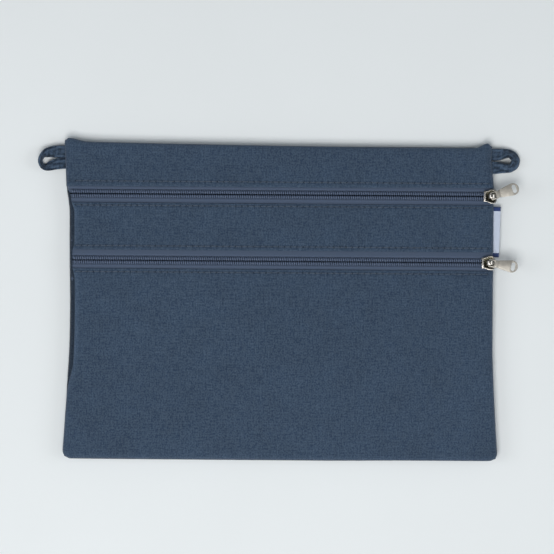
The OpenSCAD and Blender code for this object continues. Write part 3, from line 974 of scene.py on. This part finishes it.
def make_tapes():
    material = tape_cloth()
    for zip_name, zip_y in ZIP_Y.items():
        for side, way in (("top", 1), ("bottom", -1)):
            node = f"{zip_name}_zip_tape_{side}"
            y_low, y_high = low(node).y, high(node).y
            inner = 0.2 * MM
            steps = (0, 0.25, 0.5, 0.9, 1.5, 2.1, 2.5, 2.9, 3.4, 4, 5, 6.5, 8, 9.5, 10.8, 11.4)
            rows = sorted(zip_y + way * v for v in [*[inner + o * MM for o in steps], TAPE_W])
            rows = np.array([v for v in rows if y_low - 1e-6 <= v <= y_high + 1e-6])[:, None]
            # The ends are closely spaced, because the tape turns down into the seam there
            turn = TAPE_TURN * roll_share(np.linspace(0, math.pi / 2, 8))
            half, west = half_right(rows) - TAPE_INSET, half_left(rows) - TAPE_INSET
            middle = np.linspace(0, 1, 239)[None, 1:-1] * (west + half - 2 * TAPE_TURN)
            x = np.hstack([-west + turn[None, :], -west + TAPE_TURN + middle,
                           half - turn[None, ::-1]])
            y = np.repeat(rows, x.shape[1], axis=1)
            # Beyond the travel of the slider the two tapes meet
            met = smooth_step((-x - 114.6 * MM) / (1.4 * MM))
            met = met + smooth_step((x - 116.4 * MM) / (0.6 * MM))
            near = 1 - smooth_step((np.abs(y - zip_y) - inner) / (2 * MM))
            y = y - way * (inner - 0.02 * MM) * met * near
            off = np.abs(y - zip_y)
            z = tape_height(x, y)
            # A low ridge where the coil is sewn on, and shallow ribs beside it
            for height, at, width in ((0.08, 3.1, 0.35), (-0.12, 2.55, 0.28), (-0.05, 3.7, 0.3)):
                z = z + height * MM * hump(off, at * MM, width * MM)
            z = z + 0.03 * MM * np.sin(x / (9 * MM)) * smooth_step((off - 2.5 * MM) / (3 * MM))
            # Paler along the sewn ridge, and painted shade in the sewing groove beside it
            wear_and_shading = hump(off, 3.1 * MM, 0.5 * MM) - 0.7 * hump(off, 2.5 * MM, 0.3 * MM)
            piece = cloth_piece(f"{node}_weave", np.stack([x, y, z], axis=-1), 0.45 * MM, wear_and_shading)
            finish_piece(piece, material, "case", [node])


def make_coils():
    """Each coil row is one bent tooth, copied along the zip; the rows are half a pitch apart"""
    s = sizes()
    material = coil_nylon()
    # Distance from the zip's middle and height over the tape, in mm
    outline = [(2.12, -0.05), (1.85, 0.88), (1.2, 1.0), (0.62, 0.9), (0.3, 0.66)]
    for zip_name, zip_y in ZIP_Y.items():
        for side, way in (("top", 1), ("bottom", -1)):
            node = f"{zip_name}_zip_coil_{side}"
            x_low, x_high = low(node).x, high(node).x
            # The teeth run on at the left until the tape turns down into the seam
            x_low = min(x_low, 1.5 * MM - float(half_left(zip_y)))
            count = int((x_high - x_low - 2 * s.tooth_radius) / s.tooth_pitch)
            start = x_high - s.tooth_radius - (count - (0.5 if way > 0 else 1)) * s.tooth_pitch
            lean = 0.22 * MM
            path = [(start + lean * i / 4 * way, zip_y + way * y * MM, TAPE_Z + z * MM)
                    for i, (y, z) in enumerate(outline)]
            piece = wire(f"{node}_teeth", path, s.tooth_radius, [0.9, 1, 1.05, 1.1, 0.85])
            repeat(piece, count, s.tooth_pitch)
            co = points_of(piece)
            co[:, 2] += tape_height(co[:, 0], np.full(len(co), zip_y)) - TAPE_Z
            set_points(piece, co)
            smooth(piece)
            finish_piece(piece, material, "case", [node])


def make_stitches():
    s = sizes()
    material = sewing_thread()
    for name, row_y in stitch_rows().items():
        node = f"topstitch_{name}"
        pitch = (high(node).x - low(node).x - s.stitch_length) / (s.stitches - 1)
        half = s.stitch_length / 2
        drop = -0.3 * MM
        start = low(node).x + half
        end, shoulder = half + 0.1 * MM, half - 0.25 * MM
        profile = [(-end, drop), (-shoulder, 0.04 * MM), (0, 0.12 * MM), (shoulder, 0.04 * MM),
                   (end, drop)]
        path = [(start + along, row_y, z) for along, z in profile]
        piece = wire(f"{node}_thread", path, s.thread_radius, [0.8, 1, 1.05, 1, 0.8])
        repeat(piece, s.stitches, pitch)
        co = points_of(piece)
        centre = start + pitch * np.round((co[:, 0] - start) / pitch)
        order = np.round((centre - start) / pitch)
        across = np.full(len(co), row_y)
        # The thread lies in the channel that it draws; no two stitches lie quite alike
        co[:, 2] += FRONT_Z + ripples(centre, across) - sewn(centre, across) + 0.06 * MM
        lean = (co[:, 0] - centre) * 0.05 * np.sin(order * 1.3)
        co[:, 1] += 0.05 * MM * np.sin(order * 2.4) + lean
        set_points(piece, co)
        smooth(piece)
        finish_piece(piece, material, "case", [node])


def make_bindings():
    """Bound seam allowances inside the case, lying on the back cloth"""
    material = ribbed("seam_binding_twill", tuple(0.9 * v for v in colours().tape), 0.4 * MM)
    thickness = 0.5 * MM
    for place_name in ("left", "right", "bottom", "top"):
        node = f"{place_name}_seam_binding"
        lowest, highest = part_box(node)
        lift = highest.z - 0.1 * MM
        bottom = lowest.z + 0.15 * MM
        shares = np.linspace(0, 1, 17)[None, :]
        # Across the binding, its face runs over the folded seam allowance as a low dome
        dome = 1 - np.abs(2 * shares - 1) ** 3.5
        if place_name in ("left", "right"):
            way = -1 if place_name == "left" else 1
            run = np.linspace(lowest.y + 1 * MM, highest.y, 118)[:, None]
            edge = half_left(run) if way < 0 else half_right(run)
            outer = way * (np.minimum(half_width(run), edge) - 1.25 * MM)
            x = outer - way * (6.4 * MM) * (1 - shares if way > 0 else shares)
            y = np.repeat(run, 17, axis=1)
        else:
            end_x = min(highest.x - 0.6 * MM, float(inner_half(highest.y)) - 1.25 * MM)
            run = np.linspace(-end_x, end_x, 150)[:, None]
            x = np.repeat(run, 17, axis=1)
            y = lowest.y + (highest.y - lowest.y) * np.repeat(1 - shares, len(run), axis=0)
        wave = 0.06 * MM * np.sin(run / (7 * MM)) * dome
        z = bottom + thickness + (lift - bottom - thickness) * dome + wave
        piece = cloth_piece(f"{node}_twill", np.stack([x, y, z], axis=-1), thickness)
        finish_piece(piece, material, "case", [node])


# Metal


def arc(x, y, radius, start, stop, count):
    """Points along an arc, from one angle to another in degrees"""
    return [(x + radius * math.cos(a), y + radius * math.sin(a))
            for a in np.radians(np.linspace(start, stop, count))]


def mirrored(upper):
    """Closes an outline whose upper half is given"""
    return upper + [(x, -y) for x, y in reversed(upper)]


def rounded_bar(length, width, radius, steps=5):
    """Outline of a bar with round corners, centred on the origin"""
    points = []
    for x, y, start in ((1, 1, 0), (-1, 1, 90), (-1, -1, 180), (1, -1, 270)):
        points += arc(x * (length / 2 - radius), y * (width / 2 - radius), radius, start,
                      start + 90, steps)
    return points


def wing_half(half_l, tail, shoulder):
    """Upper half of a slider's wing: narrow tail at the left, round shoulders at the right"""
    upper = [(-half_l, tail - 0.6 * MM), (-half_l + 0.18 * MM, tail - 0.15 * MM),
             (-half_l + 0.6 * MM, tail)]
    for share in np.linspace(0.15, 0.85, 8):
        waist = 0.1 * MM * math.sin(math.pi * share)
        swell = (shoulder - tail) * smooth_step((share - 0.1) / 0.8)
        upper.append((-half_l + 0.6 * MM + share * 1.15 * half_l, tail - waist + swell))
    corner = 1.7 * MM
    return upper + arc(half_l - corner, shoulder - corner, corner, 90, 0, 9)


def sink_face(obj, rim, depth):
    """Sinks the top face inside a rim"""
    only(obj)
    bpy.ops.object.mode_set(mode="EDIT")
    bpy.ops.mesh.select_mode(type="FACE")
    bpy.ops.mesh.select_all(action="DESELECT")
    bpy.ops.object.mode_set(mode="OBJECT")
    max(obj.data.polygons, key=lambda face: face.center.z).select = True
    bpy.ops.object.mode_set(mode="EDIT")
    bpy.ops.mesh.inset(thickness=rim, use_even_offset=True)
    bpy.ops.mesh.inset(thickness=0.12 * MM, depth=-depth)
    bpy.ops.object.mode_set(mode="OBJECT")


def bridge(foot_z, top_z):
    """The domed strap over the pull tab's bar: its side view is extruded across, then rounded"""
    outer, inner, width = top_z - PIVOT_Z, 1.1 * MM, 2.7 * MM
    outside = arc(0, PIVOT_Z, outer, 0, 180, 17)
    inside = arc(0, PIVOT_Z, inner, 180, 0, 13)
    profile = [(outer, foot_z), *outside, (-outer, foot_z), (-inner, foot_z), *inside,
               (inner, foot_z)]
    piece = plate("bridge", profile, width, 0.42 * MM, 4, 50)
    place(piece, Matrix.Rotation(math.pi / 2, 4, "X"))
    return move(piece, PIVOT_SHIFT, width / 2, 0)


def make_sliders():
    material = plated_metal("slider_metal_polished", 0.45, (9.36 * MM, 9.62 * MM))
    wing_t, wing_z = 0.75 * MM, 8.95 * MM
    top_z = wing_z + wing_t
    rail_z = TAPE_Z + 0.3 * MM
    channel = 2.62 * MM
    lower_l = 4.4 * MM
    for name, zip_y in ZIP_Y.items():
        node = f"{name}_slider"
        lowest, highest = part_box(node)
        half_l = (highest.x - lowest.x) / 2
        shoulder = (highest.y - lowest.y) / 2
        tail = shoulder - 0.95 * MM
        # The wing's face is sunk inside a raised rim, and a lip stands across the tail
        top = plate("wing", mirrored(wing_half(half_l, tail, shoulder)), wing_t)
        sink_face(top, 0.62 * MM, 0.4 * MM)
        bevel(top, 0.17 * MM, 3, 30)
        lip = plate("lip", rounded_bar(1 * MM, 2 * tail - 0.5 * MM, 0.45 * MM), 0.62 * MM,
                    0.26 * MM, 3)
        parts = [move(top, 0, 0, wing_z),
                 move(lip, -half_l + 0.6 * MM, 0, top_z - 0.12 * MM)]
        side = [p for p in wing_half(half_l - 0.08 * MM, tail - 0.05 * MM, shoulder - 0.03 * MM)
                if p[1] > channel]
        side += [(side[-1][0], channel), (side[0][0], channel)]
        for way in (1, -1):
            outline = [(x, y * way) for x, y in side[::way]]
            rail = plate("rail", outline, wing_z - rail_z + 0.2 * MM, 0.12 * MM)
            parts.append(move(rail, 0, 0, rail_z))
        under = plate("under_wing", rounded_bar(lower_l, 2 * tail, 0.7 * MM), wing_t, 0.2 * MM)
        parts.append(move(under, -half_l + lower_l / 2, 0, lowest.z))
        post_h = top_z - lowest.z - 0.3 * MM
        post = plate("post", rounded_bar(2 * MM, 0.2 * MM, 0.09 * MM), post_h)
        parts.append(move(post, -0.1 * MM, 0, lowest.z + 0.2 * MM))
        parts.append(bridge(top_z - 0.25 * MM, highest.z))
        slider = joined(f"{node}_body", parts)
        move(slider, (lowest.x + highest.x) / 2, zip_y, 0)
        soften(slider, 40)
        finish_piece(slider, material, node, [node])


def pull_outline(length, eye_w, end_w):
    """Outline of a pull tab from its eye to its round end"""
    half = eye_w / 2
    upper = [(-0.7 * MM, half - 0.4 * MM), (-0.5 * MM, half - 0.1 * MM), (0, half),
             (2.6 * MM, half), (3.6 * MM, half - 0.25 * MM), (4.5 * MM, half - 0.2 * MM),
             (5.5 * MM, half + 0.1 * MM)]
    upper += arc(length - end_w / 2, 0, end_w / 2, 98, 0, 15)[:-1]
    return upper + [(length, 0)] + [(x, -y) for x, y in reversed(upper)]


def make_pull_tabs():
    # The pull tabs' copy of the plating is painted darker than the sliders': painted shade
    material = plated_metal("pull_metal_satin", -0.7, shade=0.8)
    length, thick, eye_w, end_w = 15.6 * MM, 1 * MM, 4.4 * MM, 6.8 * MM
    slot_l, slot_rim = 2.3 * MM, 1.45 * MM
    for name, turn in (("upper", 19), ("lower", -9)):
        node = f"{name}_pull_tab"
        slider_low, slider_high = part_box(f"{name}_slider")
        pivot_x = (slider_low.x + slider_high.x) / 2 + PIVOT_SHIFT
        body = plate("pull", pull_outline(length, eye_w, end_w), thick)
        eye = plate("eye_opening", rounded_bar(3.1 * MM, 3.3 * MM, 0.6 * MM), 3 * thick)
        cut(body, move(eye, 0.95 * MM, 0, -thick))
        slot = plate("slot", rounded_bar(slot_l, 4.6 * MM, 1.12 * MM, 8), 3 * thick)
        cut(body, move(slot, length - slot_rim - slot_l / 2, 0, -thick))
        groove = plate("groove", rounded_bar(0.6 * MM, 12 * MM, 0.1 * MM), thick)
        cut(body, move(groove, 4.75 * MM, 0, 0.5 * thick))
        bevel(body, 0.16 * MM, 2, 35)
        move(body, 0, 0, -thick / 2)
        # The bar at the eye's end turns inside the bridge
        bar = wire("bar", [(0, y * MM, 0) for y in (-1.9, -1, 0, 1, 1.9)], 0.5 * MM, sections=1)
        pull = joined(f"{node}_plate", [body, bar])
        droop = Matrix.Rotation(math.radians(3), 4, "Y")
        swing = Matrix.Rotation(math.radians(turn), 4, "Z")
        place(pull, Matrix.Translation((pivot_x, ZIP_Y[name], PIVOT_Z)) @ swing @ droop)
        soften(pull)
        finish_piece(pull, material, node, [node])


# Loops and label


def smooth_path(values, count):
    """Points on a smooth curve through evenly counted values"""
    values = np.array(values, float)
    padded = np.vstack([2 * values[0] - values[1], values, 2 * values[-1] - values[-2]])
    t = np.linspace(0, len(values) - 1, count)
    k = np.minimum(t.astype(int), len(values) - 2)
    f = (t - k)[:, None]
    p0, p1, p2, p3 = padded[k], padded[k + 1], padded[k + 2], padded[k + 3]
    return 0.5 * (2 * p1 + (p2 - p0) * f + (2 * p0 - 5 * p1 + 4 * p2 - p3) * f ** 2
                  + (3 * p1 - p0 - 3 * p2 + p3) * f ** 3)


def folded_strip(name, path, tilt, width, thickness, curl=0.0, inner=0):
    """A strip folded lengthwise and swept along a path, which it may tilt about. Its section
    is a flat round-edged ring with creases along it, whose ridges are painted paler and whose
    hollows get painted shade. inner is the edge that faces the loop's opening, 1 or -1, which
    gets painted shade."""
    count = len(path)
    tangent = np.gradient(path, axis=0)
    tangent /= np.linalg.norm(tangent, axis=1)[:, None]
    up = np.array([0, 0, 1.0])
    outward = np.cross(tangent, up)
    outward /= np.linalg.norm(outward, axis=1)[:, None]
    ring = 40
    angles = np.linspace(0, 2 * math.pi, ring, endpoint=False)
    across = np.sign(np.cos(angles)) * np.abs(np.cos(angles)) ** 0.45
    depth = np.sign(np.sin(angles)) * np.abs(np.sin(angles)) ** 0.6
    lengths = np.concatenate([[0], np.cumsum(np.linalg.norm(np.diff(path, axis=0), axis=1))])
    points, wear_and_shading = [], []
    for i in range(count):
        w = outward[i] * math.cos(tilt[i]) + up * math.sin(tilt[i])
        n = np.cross(w, tangent[i])
        n *= -1 if n[2] < 0 and abs(n[2]) > 0.02 else 1
        s = lengths[i] / MM
        creases = 0.13 * np.sin(9 * across + 0.35 * s + 0.6 * np.sin(0.9 * s))
        creases = creases + 0.09 * np.sin(4.5 * across - 0.5 * s + 1.1)
        creases = creases + 0.06 * np.sin(2.1 * s + 2 * across)
        lip = 0.16 * np.exp(-((across - 0.72) / 0.1) ** 2)
        half_t = thickness[i] / 2 * (1 + 0.12 * np.sin(0.8 * s))
        bowed = curl * (across ** 2 - 0.4) * width[i] / 2
        top = depth * half_t + np.where(depth > 0, creases * MM - lip * MM, 0.4 * creases * MM)
        points.append(path[i] + np.outer(across * width[i] / 2, w) + np.outer(top + bowed, n))
        # Crease ridges are painted paler and their hollows darker, and the inner rim gets painted
        # shade
        rim = 0.9 * abs(inner) * np.exp(-((across - inner) / 0.3) ** 2)
        wear_and_shading.append(np.clip(creases * 7 - rim, -0.9, 1))
    faces = [[i * ring + j, i * ring + (j + 1) % ring, (i + 1) * ring + (j + 1) % ring,
              (i + 1) * ring + j] for i in range(count - 1) for j in range(ring)]
    faces += [list(range(ring - 1, -1, -1)), [(count - 1) * ring + j for j in range(ring)]]
    u = np.repeat(lengths[:, None], ring, axis=1)
    v = np.repeat((across * 3.6 * MM)[None, :], count, axis=0)
    obj = mesh_object(name, np.array(points), faces, np.stack([u, v], axis=-1), np.array(wear_and_shading))
    face_outward(obj)
    smooth(obj)
    return obj


# Centre line of each loop from the upper root round the turn to the lower root, in mm: distance
# out from the seam, distance above the crease, and half of the strip's width as seen from above
LEFT_LOOP = [
    (-1.5, 3.3, 3.5), (1.2, 3.4, 3.6), (5.3, 3.4, 3.5), (9, 3.3, 3.1), (12.2, 2.7, 2.4),
    (14.6, 1.3, 1.5), (15.8, -0.9, 1.15), (15.6, -3.0, 1.25), (14.2, -4.7, 1.6), (11.8, -5.1, 2.1),
    (8.6, -4.2, 2.7), (5, -3.3, 3.1), (1.2, -2.95, 3.1), (-1.5, -2.85, 3.0),
]
RIGHT_LOOP = [
    (-1.5, 3.5, 3.4), (1, 3.5, 3.4), (4, 3.7, 3.2), (7, 4.1, 2.7), (9.6, 4.0, 2.3),
    (11.7, 2.4, 2.4), (12.6, 0.1, 2.45), (12, -2.2, 2.4), (10.2, -3.7, 2.4), (7.2, -3.9, 2.6),
    (4.2, -3.7, 3.2), (1.2, -3.7, 3.5), (-1.5, -3.7, 3.5),
]


def make_loops():
    cloth = outer_cloth()
    centre_z = 3.15 * MM
    for node, way, line in (("left_loop", -1, LEFT_LOOP), ("right_loop", 1, RIGHT_LOOP)):
        lowest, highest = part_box(node)
        crease_y = (lowest.y + highest.y) / 2
        seam_x = float(half_right(crease_y) if way > 0 else half_left(crease_y) - 0.8 * MM)
        reach = max(abs(lowest.x), abs(highest.x)) - seam_x - 0.6 * MM
        stretch = reach / (max(x + h for x, _, h in line) * MM)
        shape = smooth_path([(x * stretch, y, h) for x, y, h in line], 96)
        seen = shape[:, 2] * MM
        # Narrow from above means standing on edge: the tilt gives the width that is seen
        thickness = (1.15 + 0.55 * np.clip(seen / (3.4 * MM), 0, 1)) * MM
        width = np.maximum(2 * seen, 5.6 * MM)
        cosine = np.clip((2 * seen - 0.8 * thickness) / (width - 0.8 * thickness), 0.06, 1)
        tilt = np.arccos(cosine)
        half_height = width / 2 * np.sin(tilt) + thickness / 2 * cosine
        z = np.maximum(centre_z, half_height + 0.25 * MM)
        x = way * (seam_x + shape[:, 0] * MM)
        path = np.stack([x, crease_y + shape[:, 1] * MM, z], axis=1)
        piece = folded_strip(f"{node}_strip", path, tilt, width, thickness, 0.05, way)
        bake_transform(piece)
        finish_piece(piece, cloth, None, [node])
        make_tail(node, way, crease_y, cloth)


def make_tail(node, way, crease_y, cloth):
    """The loop's two ends, sewn flat into the seam"""
    tail = f"{node}_tail"
    lowest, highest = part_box(tail)
    inner, outer = (lowest.x, highest.x) if way > 0 else (highest.x, lowest.x)
    centre_z = (lowest.z + highest.z) / 2
    legs = []
    count = 14
    for offset in (3.5 * MM, -3.5 * MM):
        leg_y = crease_y + offset
        path = np.linspace((inner, leg_y, centre_z), (outer, leg_y, centre_z), count)
        width, thickness = np.full(count, 6.6 * MM), np.full(count, 1.5 * MM)
        legs.append(folded_strip("leg", path, np.zeros(count), width, thickness))
    piece = joined(f"{tail}_strip", legs)
    finish_piece(piece, cloth, "case", [tail])


def make_label():
    """A woven ribbon folded in half, its two ends caught in the right seam"""
    lowest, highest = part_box("side_label")
    thickness = 0.16 * MM
    gap = 0.06 * MM
    free = 3.6 * MM
    centre_z = (lowest.z + highest.z) / 2
    # It is sewn in a little higher than the middle of the room left for it
    high_up = 1.2 * MM
    fold = thickness / 2 + gap
    turn = arc(highest.x - fold, 0, fold, 90, -90, 9)
    straight = list(np.linspace(lowest.x, highest.x - fold, 15))[:-1]
    section = [(x, fold) for x in straight] + turn + [(x, -fold) for x in reversed(straight)]
    rows = np.linspace(lowest.y, highest.y, 37)
    grid = np.zeros((len(rows), len(section), 3))
    for j, y in enumerate(rows):
        share = (y - lowest.y) / (highest.y - lowest.y)
        for i, (x, off) in enumerate(section):
            out = max(0, x - highest.x + free) / free
            # It leans a little, and its free edge curls down and waves
            lean = (share - 0.5) * 0.9 * MM * out
            curl = -0.9 * MM * out ** 2 + 0.35 * MM * math.sin(share * 5 + 0.6) * out
            grid[j, i] = (x + lean, y + high_up, centre_z + off + curl)
    piece = cloth_piece("side_label_ribbon", grid, thickness, rounding=0)
    face_outward(piece)
    satin = label_satin(lowest.y + high_up, highest.y + high_up, 2.3 * MM)
    finish_piece(piece, satin, "case", ["side_label"])


# Stage


def make_stage():
    r = Recipe("pale_floor")
    here = r.object_place()
    drift = r.noise(here, 6.0, 3.0)
    grain = r.noise(here, 1200.0, 2.0)
    base = r.tint(colours().floor, r.vary(drift, 0.985, 1.015))
    floor_material = r.done(base, r.vary(grain, 0.75, 0.85), r.bump(grain, 0.01 * MM, 0.2))
    bpy.ops.object.select_all(action="DESELECT")
    bpy.ops.mesh.primitive_plane_add(size=6)
    floor = bpy.context.object
    floor.name = "stage_floor"
    floor.data.materials.append(floor_material)

    world = bpy.data.worlds.new("soft_room")
    bpy.context.scene.world = world
    world.use_nodes = True
    tree = world.node_tree
    background = tree.nodes["Background"]
    sky = tree.nodes.new("ShaderNodeTexCoord")
    split = tree.nodes.new("ShaderNodeSeparateXYZ")
    ramp = tree.nodes.new("ShaderNodeValToRGB")
    tree.links.new(sky.outputs["Generated"], split.inputs[0])
    tree.links.new(split.outputs[2], ramp.inputs[0])
    tree.links.new(ramp.outputs[0], background.inputs["Color"])
    stops = ramp.color_ramp.elements
    stops[0].position, stops[0].color = 0.0, (0.95, 1.0, 1.03, 1)
    stops[1].position, stops[1].color = 1.0, (0.42, 0.46, 0.48, 1)
    background.inputs["Strength"].default_value = 0.33
    lights = [
        ("key_softbox", (-0.15, -0.5, 1.3), 12.4, 0.8, (1.0, 0.985, 0.96)),
        ("left_softbox", (-1.2, -0.05, 0.85), 4.1, 0.7, (0.94, 0.97, 1.0)),
        ("right_softbox", (1.2, 0.0, 0.85), 3.8, 0.7, (0.94, 0.97, 1.0)),
    ]
    for name, where, power, width, tone in lights:
        light = bpy.data.lights.new(name, "AREA")
        light.energy = power
        light.size = width
        light.color = tone
        lamp = bpy.data.objects.new(name, light)
        bpy.context.scene.collection.objects.link(lamp)
        lamp.location = where
        lamp.rotation_euler = (-Vector(where)).to_track_quat("-Z", "Y").to_euler()

    camera_data = bpy.data.cameras.new("top_camera")
    camera = bpy.data.objects.new("top_camera", camera_data)
    bpy.context.scene.collection.objects.link(camera)
    bpy.context.scene.camera = camera
    height, field, sensor = 1.6, 307.5 * MM, 36
    camera_data.sensor_width = sensor
    camera_data.lens = sensor * height / field
    camera_data.clip_end = 20
    camera.location = (-2.4 * MM, 13.9 * MM, height)
    camera.rotation_euler = (0, 0, math.radians(0.44))
    bpy.context.scene.view_settings.view_transform = "Standard"


# Operators and panel


class PENCILCASE_OT_shell(bpy.types.Operator):
    """Sews the back panel, the two bands and the lower panel"""

    bl_idname = "pencil_case.shell"
    bl_label = "Outer cloth"

    def execute(self, context):
        make_shell()
        return {"FINISHED"}


class PENCILCASE_OT_divider(bpy.types.Operator):
    """Hangs the divider cloth between the two pockets"""

    bl_idname = "pencil_case.divider"
    bl_label = "Divider"

    def execute(self, context):
        make_divider()
        return {"FINISHED"}


class PENCILCASE_OT_bindings(bpy.types.Operator):
    """Lays the four bound seam allowances inside the case"""

    bl_idname = "pencil_case.bindings"
    bl_label = "Seam bindings"

    def execute(self, context):
        make_bindings()
        return {"FINISHED"}


class PENCILCASE_OT_tapes(bpy.types.Operator):
    """Lays the four zip tapes and turns their ends into the seams"""

    bl_idname = "pencil_case.tapes"
    bl_label = "Zip tapes"

    def execute(self, context):
        make_tapes()
        return {"FINISHED"}


class PENCILCASE_OT_coils(bpy.types.Operator):
    """Bends a coil tooth and repeats it along the four coil rows"""

    bl_idname = "pencil_case.coils"
    bl_label = "Zip coils"

    def execute(self, context):
        make_coils()
        return {"FINISHED"}


class PENCILCASE_OT_sliders(bpy.types.Operator):
    """Makes the two sliders from plates with rounded edges"""

    bl_idname = "pencil_case.sliders"
    bl_label = "Sliders"

    def execute(self, context):
        make_sliders()
        return {"FINISHED"}


class PENCILCASE_OT_pull_tabs(bpy.types.Operator):
    """Stamps the two pull tabs and turns them to where they rest"""

    bl_idname = "pencil_case.pull_tabs"
    bl_label = "Pull tabs"

    def execute(self, context):
        make_pull_tabs()
        return {"FINISHED"}


class PENCILCASE_OT_loops(bpy.types.Operator):
    """Folds the two hanging loops and their sewn-in tails"""

    bl_idname = "pencil_case.loops"
    bl_label = "Hanging loops"

    def execute(self, context):
        make_loops()
        return {"FINISHED"}


class PENCILCASE_OT_label(bpy.types.Operator):
    """Folds the woven label into the right seam"""

    bl_idname = "pencil_case.label"
    bl_label = "Side label"

    def execute(self, context):
        make_label()
        return {"FINISHED"}


class PENCILCASE_OT_stitches(bpy.types.Operator):
    """Lays the four rows of topstitching"""

    bl_idname = "pencil_case.stitches"
    bl_label = "Topstitching"

    def execute(self, context):
        make_stitches()
        return {"FINISHED"}


class PENCILCASE_OT_stage(bpy.types.Operator):
    """Adds the floor, the lights and the camera"""

    bl_idname = "pencil_case.stage"
    bl_label = "Stage"

    def execute(self, context):
        make_stage()
        return {"FINISHED"}


STEPS = (
    PENCILCASE_OT_shell, PENCILCASE_OT_divider, PENCILCASE_OT_bindings, PENCILCASE_OT_tapes,
    PENCILCASE_OT_coils, PENCILCASE_OT_sliders, PENCILCASE_OT_pull_tabs, PENCILCASE_OT_loops,
    PENCILCASE_OT_label, PENCILCASE_OT_stitches, PENCILCASE_OT_stage,
)


class PENCILCASE_PT_panel(bpy.types.Panel):
    """Lists the pieces of the pencil case with their sizes and colours"""

    bl_label = "Pencil case"
    bl_space_type = "VIEW_3D"
    bl_region_type = "UI"
    bl_category = "Pencil case"

    def draw(self, context):
        for step in STEPS:
            self.layout.operator(step.bl_idname)
        for group in (context.scene.pencil_case_sizes, context.scene.pencil_case_colours):
            box = self.layout.box()
            for name in group.__annotations__:
                box.prop(group, name)


CLASSES = (PencilCaseSizes, PencilCaseColours, *STEPS, PENCILCASE_PT_panel)


def register():
    for cls in CLASSES:
        bpy.utils.register_class(cls)
    bpy.types.Scene.pencil_case_sizes = PointerProperty(type=PencilCaseSizes)
    bpy.types.Scene.pencil_case_colours = PointerProperty(type=PencilCaseColours)


def unregister():
    del bpy.types.Scene.pencil_case_colours
    del bpy.types.Scene.pencil_case_sizes
    for cls in reversed(CLASSES):
        bpy.utils.unregister_class(cls)


def main():
    register()
    bpy.ops.pencil_case.shell()
    bpy.ops.pencil_case.divider()
    bpy.ops.pencil_case.bindings()
    bpy.ops.pencil_case.tapes()
    bpy.ops.pencil_case.coils()
    bpy.ops.pencil_case.sliders()
    bpy.ops.pencil_case.pull_tabs()
    bpy.ops.pencil_case.loops()
    bpy.ops.pencil_case.label()
    bpy.ops.pencil_case.stitches()
    bpy.ops.pencil_case.stage()


if __name__ == "__main__":
    main()
